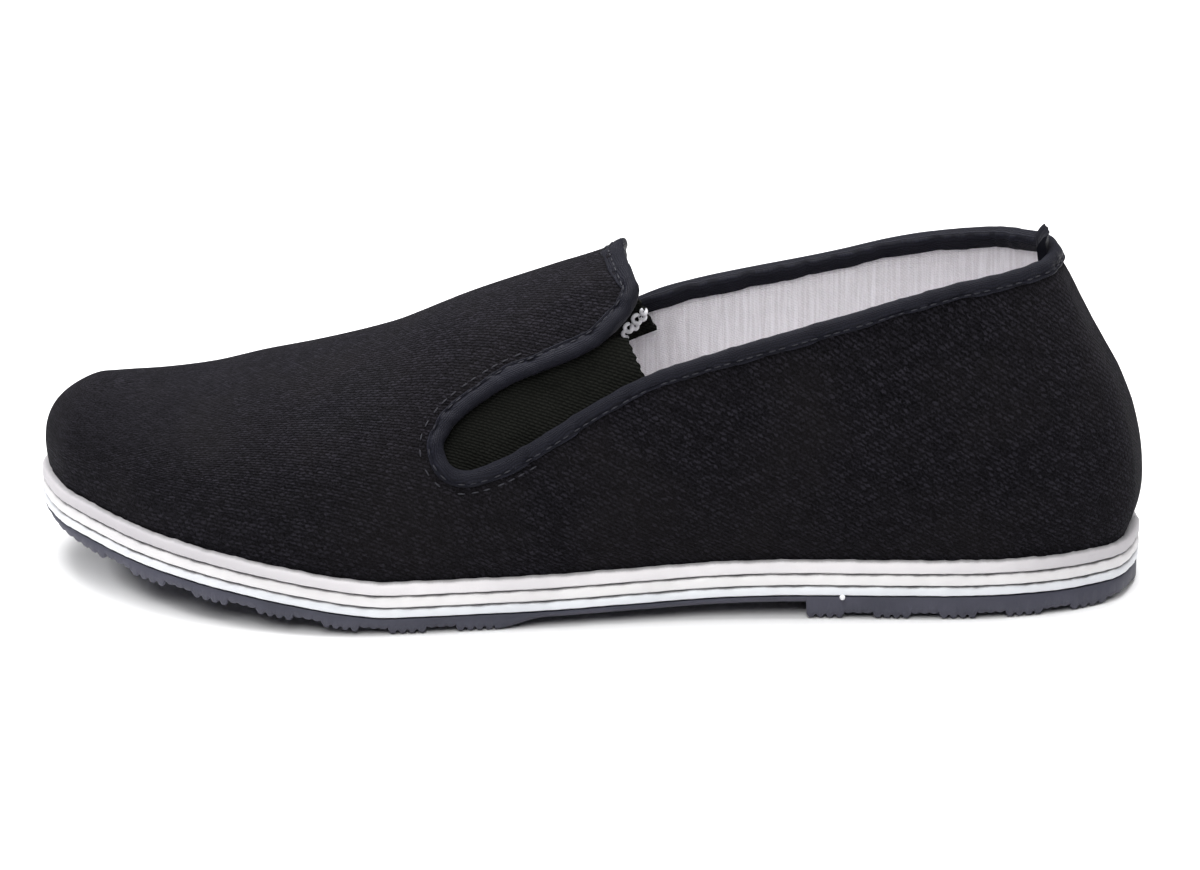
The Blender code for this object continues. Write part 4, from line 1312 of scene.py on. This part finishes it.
def make_bead():
    t = seek(lambda v: outline(v)[:, 0], 0.0, float(LAST_ROW), np.array([BEAD_X]))
    place = outline(t)[0]
    place[2] = sole_lie(place[0]) + layer_bottom(0) - BEAD_DROP
    shape = bmesh.new()
    bmesh.ops.create_uvsphere(shape, u_segments=16, v_segments=10, radius=BEAD_RADIUS)
    bmesh.ops.translate(shape, verts=shape.verts, vec=Vector(place))
    dress("glue_bead", mesh_from_shape("glue_bead", shape), WHITE_THREAD, "lower_white")


make_bead()

# %% [markdown]
# The grey outsole stands on cross bars under the forefoot and heel. Each bar is cut into
# four small teeth, which show as a saw edge from the side.

# %% Outsole
OUTSOLE_INSET = 0.0003
TIP_RUBBER = 0.0009
WAIST_RUBBER = 0.0013
TIP_END, TREAD_END, WAIST_START, HEEL_START = 0.10, 0.425, 0.470, 0.6995
BAR_LENGTH = 0.0092
BAR_PITCH = 0.01625
BAR_HEIGHT = 0.0011
TEETH = 4
TOOTH_DEPTH = 0.00055
TOOTH_FROM_TO = (0.35, 0.95)
TOE_BAR = 0.016
NOTCH = 0.8
BEVEL = 0.0007
BEVEL_HEIGHT = 0.0006
OUTSOLE_STEP = 0.00023


def rubber_thickness(along):
    fade = np.clip((along - TREAD_END) / (WAIST_START - TREAD_END), 0.0, 1.0)
    front = FOREFOOT_RUBBER + (WAIST_RUBBER - FOREFOOT_RUBBER) * (3 - 2 * fade) * fade * fade
    tip = TIP_RUBBER + (FOREFOOT_RUBBER - TIP_RUBBER) * np.sin(np.clip(along / TIP_END, 0, 1) * pi / 2)
    return np.where(along < TIP_END, tip, np.where(along < HEEL_START, front, HEEL_RUBBER))


def tread_relief(x):
    """How far the tread is cut back from its lowest face"""
    place = x + LENGTH / 2
    from_heel = place - HEEL_START * LENGTH
    from_front = TREAD_END * LENGTH - place
    start = np.where(from_heel >= 0, from_heel, from_front)
    treaded = (from_heel >= 0) | (from_front >= 0)
    tip = place < TOE_BAR
    on_bar = (np.mod(start, BAR_PITCH) < BAR_LENGTH) | tip
    tooth = np.abs(np.mod(start, BAR_PITCH) / BAR_LENGTH * TEETH % 1.0 - 0.5) * 2
    teeth = TOOTH_DEPTH * smooth_step(tooth, *TOOTH_FROM_TO) * np.where(on_bar, 1.0, 0.4)
    return np.where(treaded, np.where(on_bar, 0.0, BAR_HEIGHT) + teeth * np.where(tip, 0.7, 1.0), 0.0)


def make_outsole():
    x = np.arange(-LENGTH / 2, LENGTH / 2 + OUTSOLE_STEP, OUTSOLE_STEP).clip(-LENGTH / 2, LENGTH / 2)
    t = seek(lambda v: outline(v)[:, 0], 0.0, float(LAST_ROW), x)
    t[0], t[-1] = 0.0, LAST_ROW
    w = np.concatenate([t, -t[-2:0:-1]])
    edge_x = outline(w)[:, 0]
    top = sole_lie(edge_x)
    bottom = top - rubber_thickness(edge_x / LENGTH + 0.5) + tread_relief(edge_x)
    notch = NOTCH * (tread_relief(edge_x) % BAR_HEIGHT)
    insets = (BEVEL + notch, OUTSOLE_INSET, OUTSOLE_INSET, OUTSOLE_INSET + 0.0002)
    heights = (bottom, np.minimum(bottom + BEVEL_HEIGHT, top - 0.0004), top - 0.0003, top)
    dress_layer("grey_outsole", w, insets, heights, (0.5,) * 4, SLATE_RUBBER, "slate_rubber", "outsole")


make_outsole()

# %% [markdown]
# The insole is the floor inside the shoe, a thin sock of cloth over board. Its edge is
# rounded, and it closes the upper from below.

# %% Insole
COTTON_SOCK = make_smooth_cloth(
    "cotton_sock", (0.50, 0.48, 0.49, 1.0), (0.70, 0.68, 0.70, 1.0), 0.92, 0.0008, 0.00015)
INSOLE = 0.0028
INSOLE_INSET = FEATHER_INSET + WALL + 0.0009
INSOLE_STEPS = 8


def make_insole():
    w = sole_ring(INSOLE_STEPS)
    base = feather_height(outline(w)[:, 0])
    insets = (INSOLE_INSET, INSOLE_INSET, INSOLE_INSET + 0.0003, INSOLE_INSET + 0.0010)
    heights = [base + rise for rise in (SEAT_GAP, INSOLE * 0.6, INSOLE * 0.88, INSOLE)]
    dress_layer("sock_insole", w, insets, heights, (0.5,) * 4, COTTON_SOCK, "sock_cotton", "insole")


make_insole()

# %% [markdown]
# The photograph was taken on a glossy white table under broad soft lights. The table is
# white with a weak reflection, and the world around it is white as well.

# %% Floor and light
TABLE_WHITE = (0.90, 0.90, 0.905, 1.0)
TABLE_REACH = 3.0
TABLE_DROP = 0.0004
WORLD_STRENGTH = 0.06


def make_floor():
    finish = start_finish("white_table", 0.12)
    finish.shader.inputs["Base Color"].default_value = TABLE_WHITE
    mesh = bpy.data.meshes.new("floor")
    corners = [(x * TABLE_REACH, y * TABLE_REACH, 0) for x, y in ((-1, -1), (1, -1), (1, 1), (-1, 1))]
    mesh.from_pydata(corners, [], [(0, 1, 2, 3)])
    mesh.materials.append(finish.material)
    floor = bpy.data.objects.new("floor", mesh)
    floor.location.z = -TABLE_DROP
    bpy.context.scene.collection.objects.link(floor)


Light = namedtuple("Light", "name place size watts")
LIGHTS = tuple(Light(*row) for row in (
    ("softbox_above", (-0.05, 0.32, 1.12), 1.2, 33.0),
    ("softbox_left", (-0.95, 0.10, 0.70), 0.25, 6.0),
    ("softbox_right", (1.00, 0.10, 0.75), 0.5, 4.0),
    ("softbox_front", (-0.15, -0.95, 1.15), 1.0, 19.0),
))


def light_scene():
    world = bpy.data.worlds.new("white_room")
    world.use_nodes = True
    background = world.node_tree.nodes["Background"]
    background.inputs["Color"].default_value = (1.0, 1.0, 1.0, 1.0)
    background.inputs["Strength"].default_value = WORLD_STRENGTH
    bpy.context.scene.world = world
    bpy.context.scene.view_settings.view_transform = "Standard"
    for light in LIGHTS:
        data = bpy.data.lights.new(light.name, "AREA")
        data.size = light.size
        data.energy = light.watts
        lamp = bpy.data.objects.new(light.name, data)
        lamp.location = light.place
        lamp.rotation_euler = (-Vector(light.place)).to_track_quat("-Z", "Y").to_euler()
        bpy.context.scene.collection.objects.link(lamp)
    print(f"{len(LIGHTS)} soft lights")


make_floor()
light_scene()
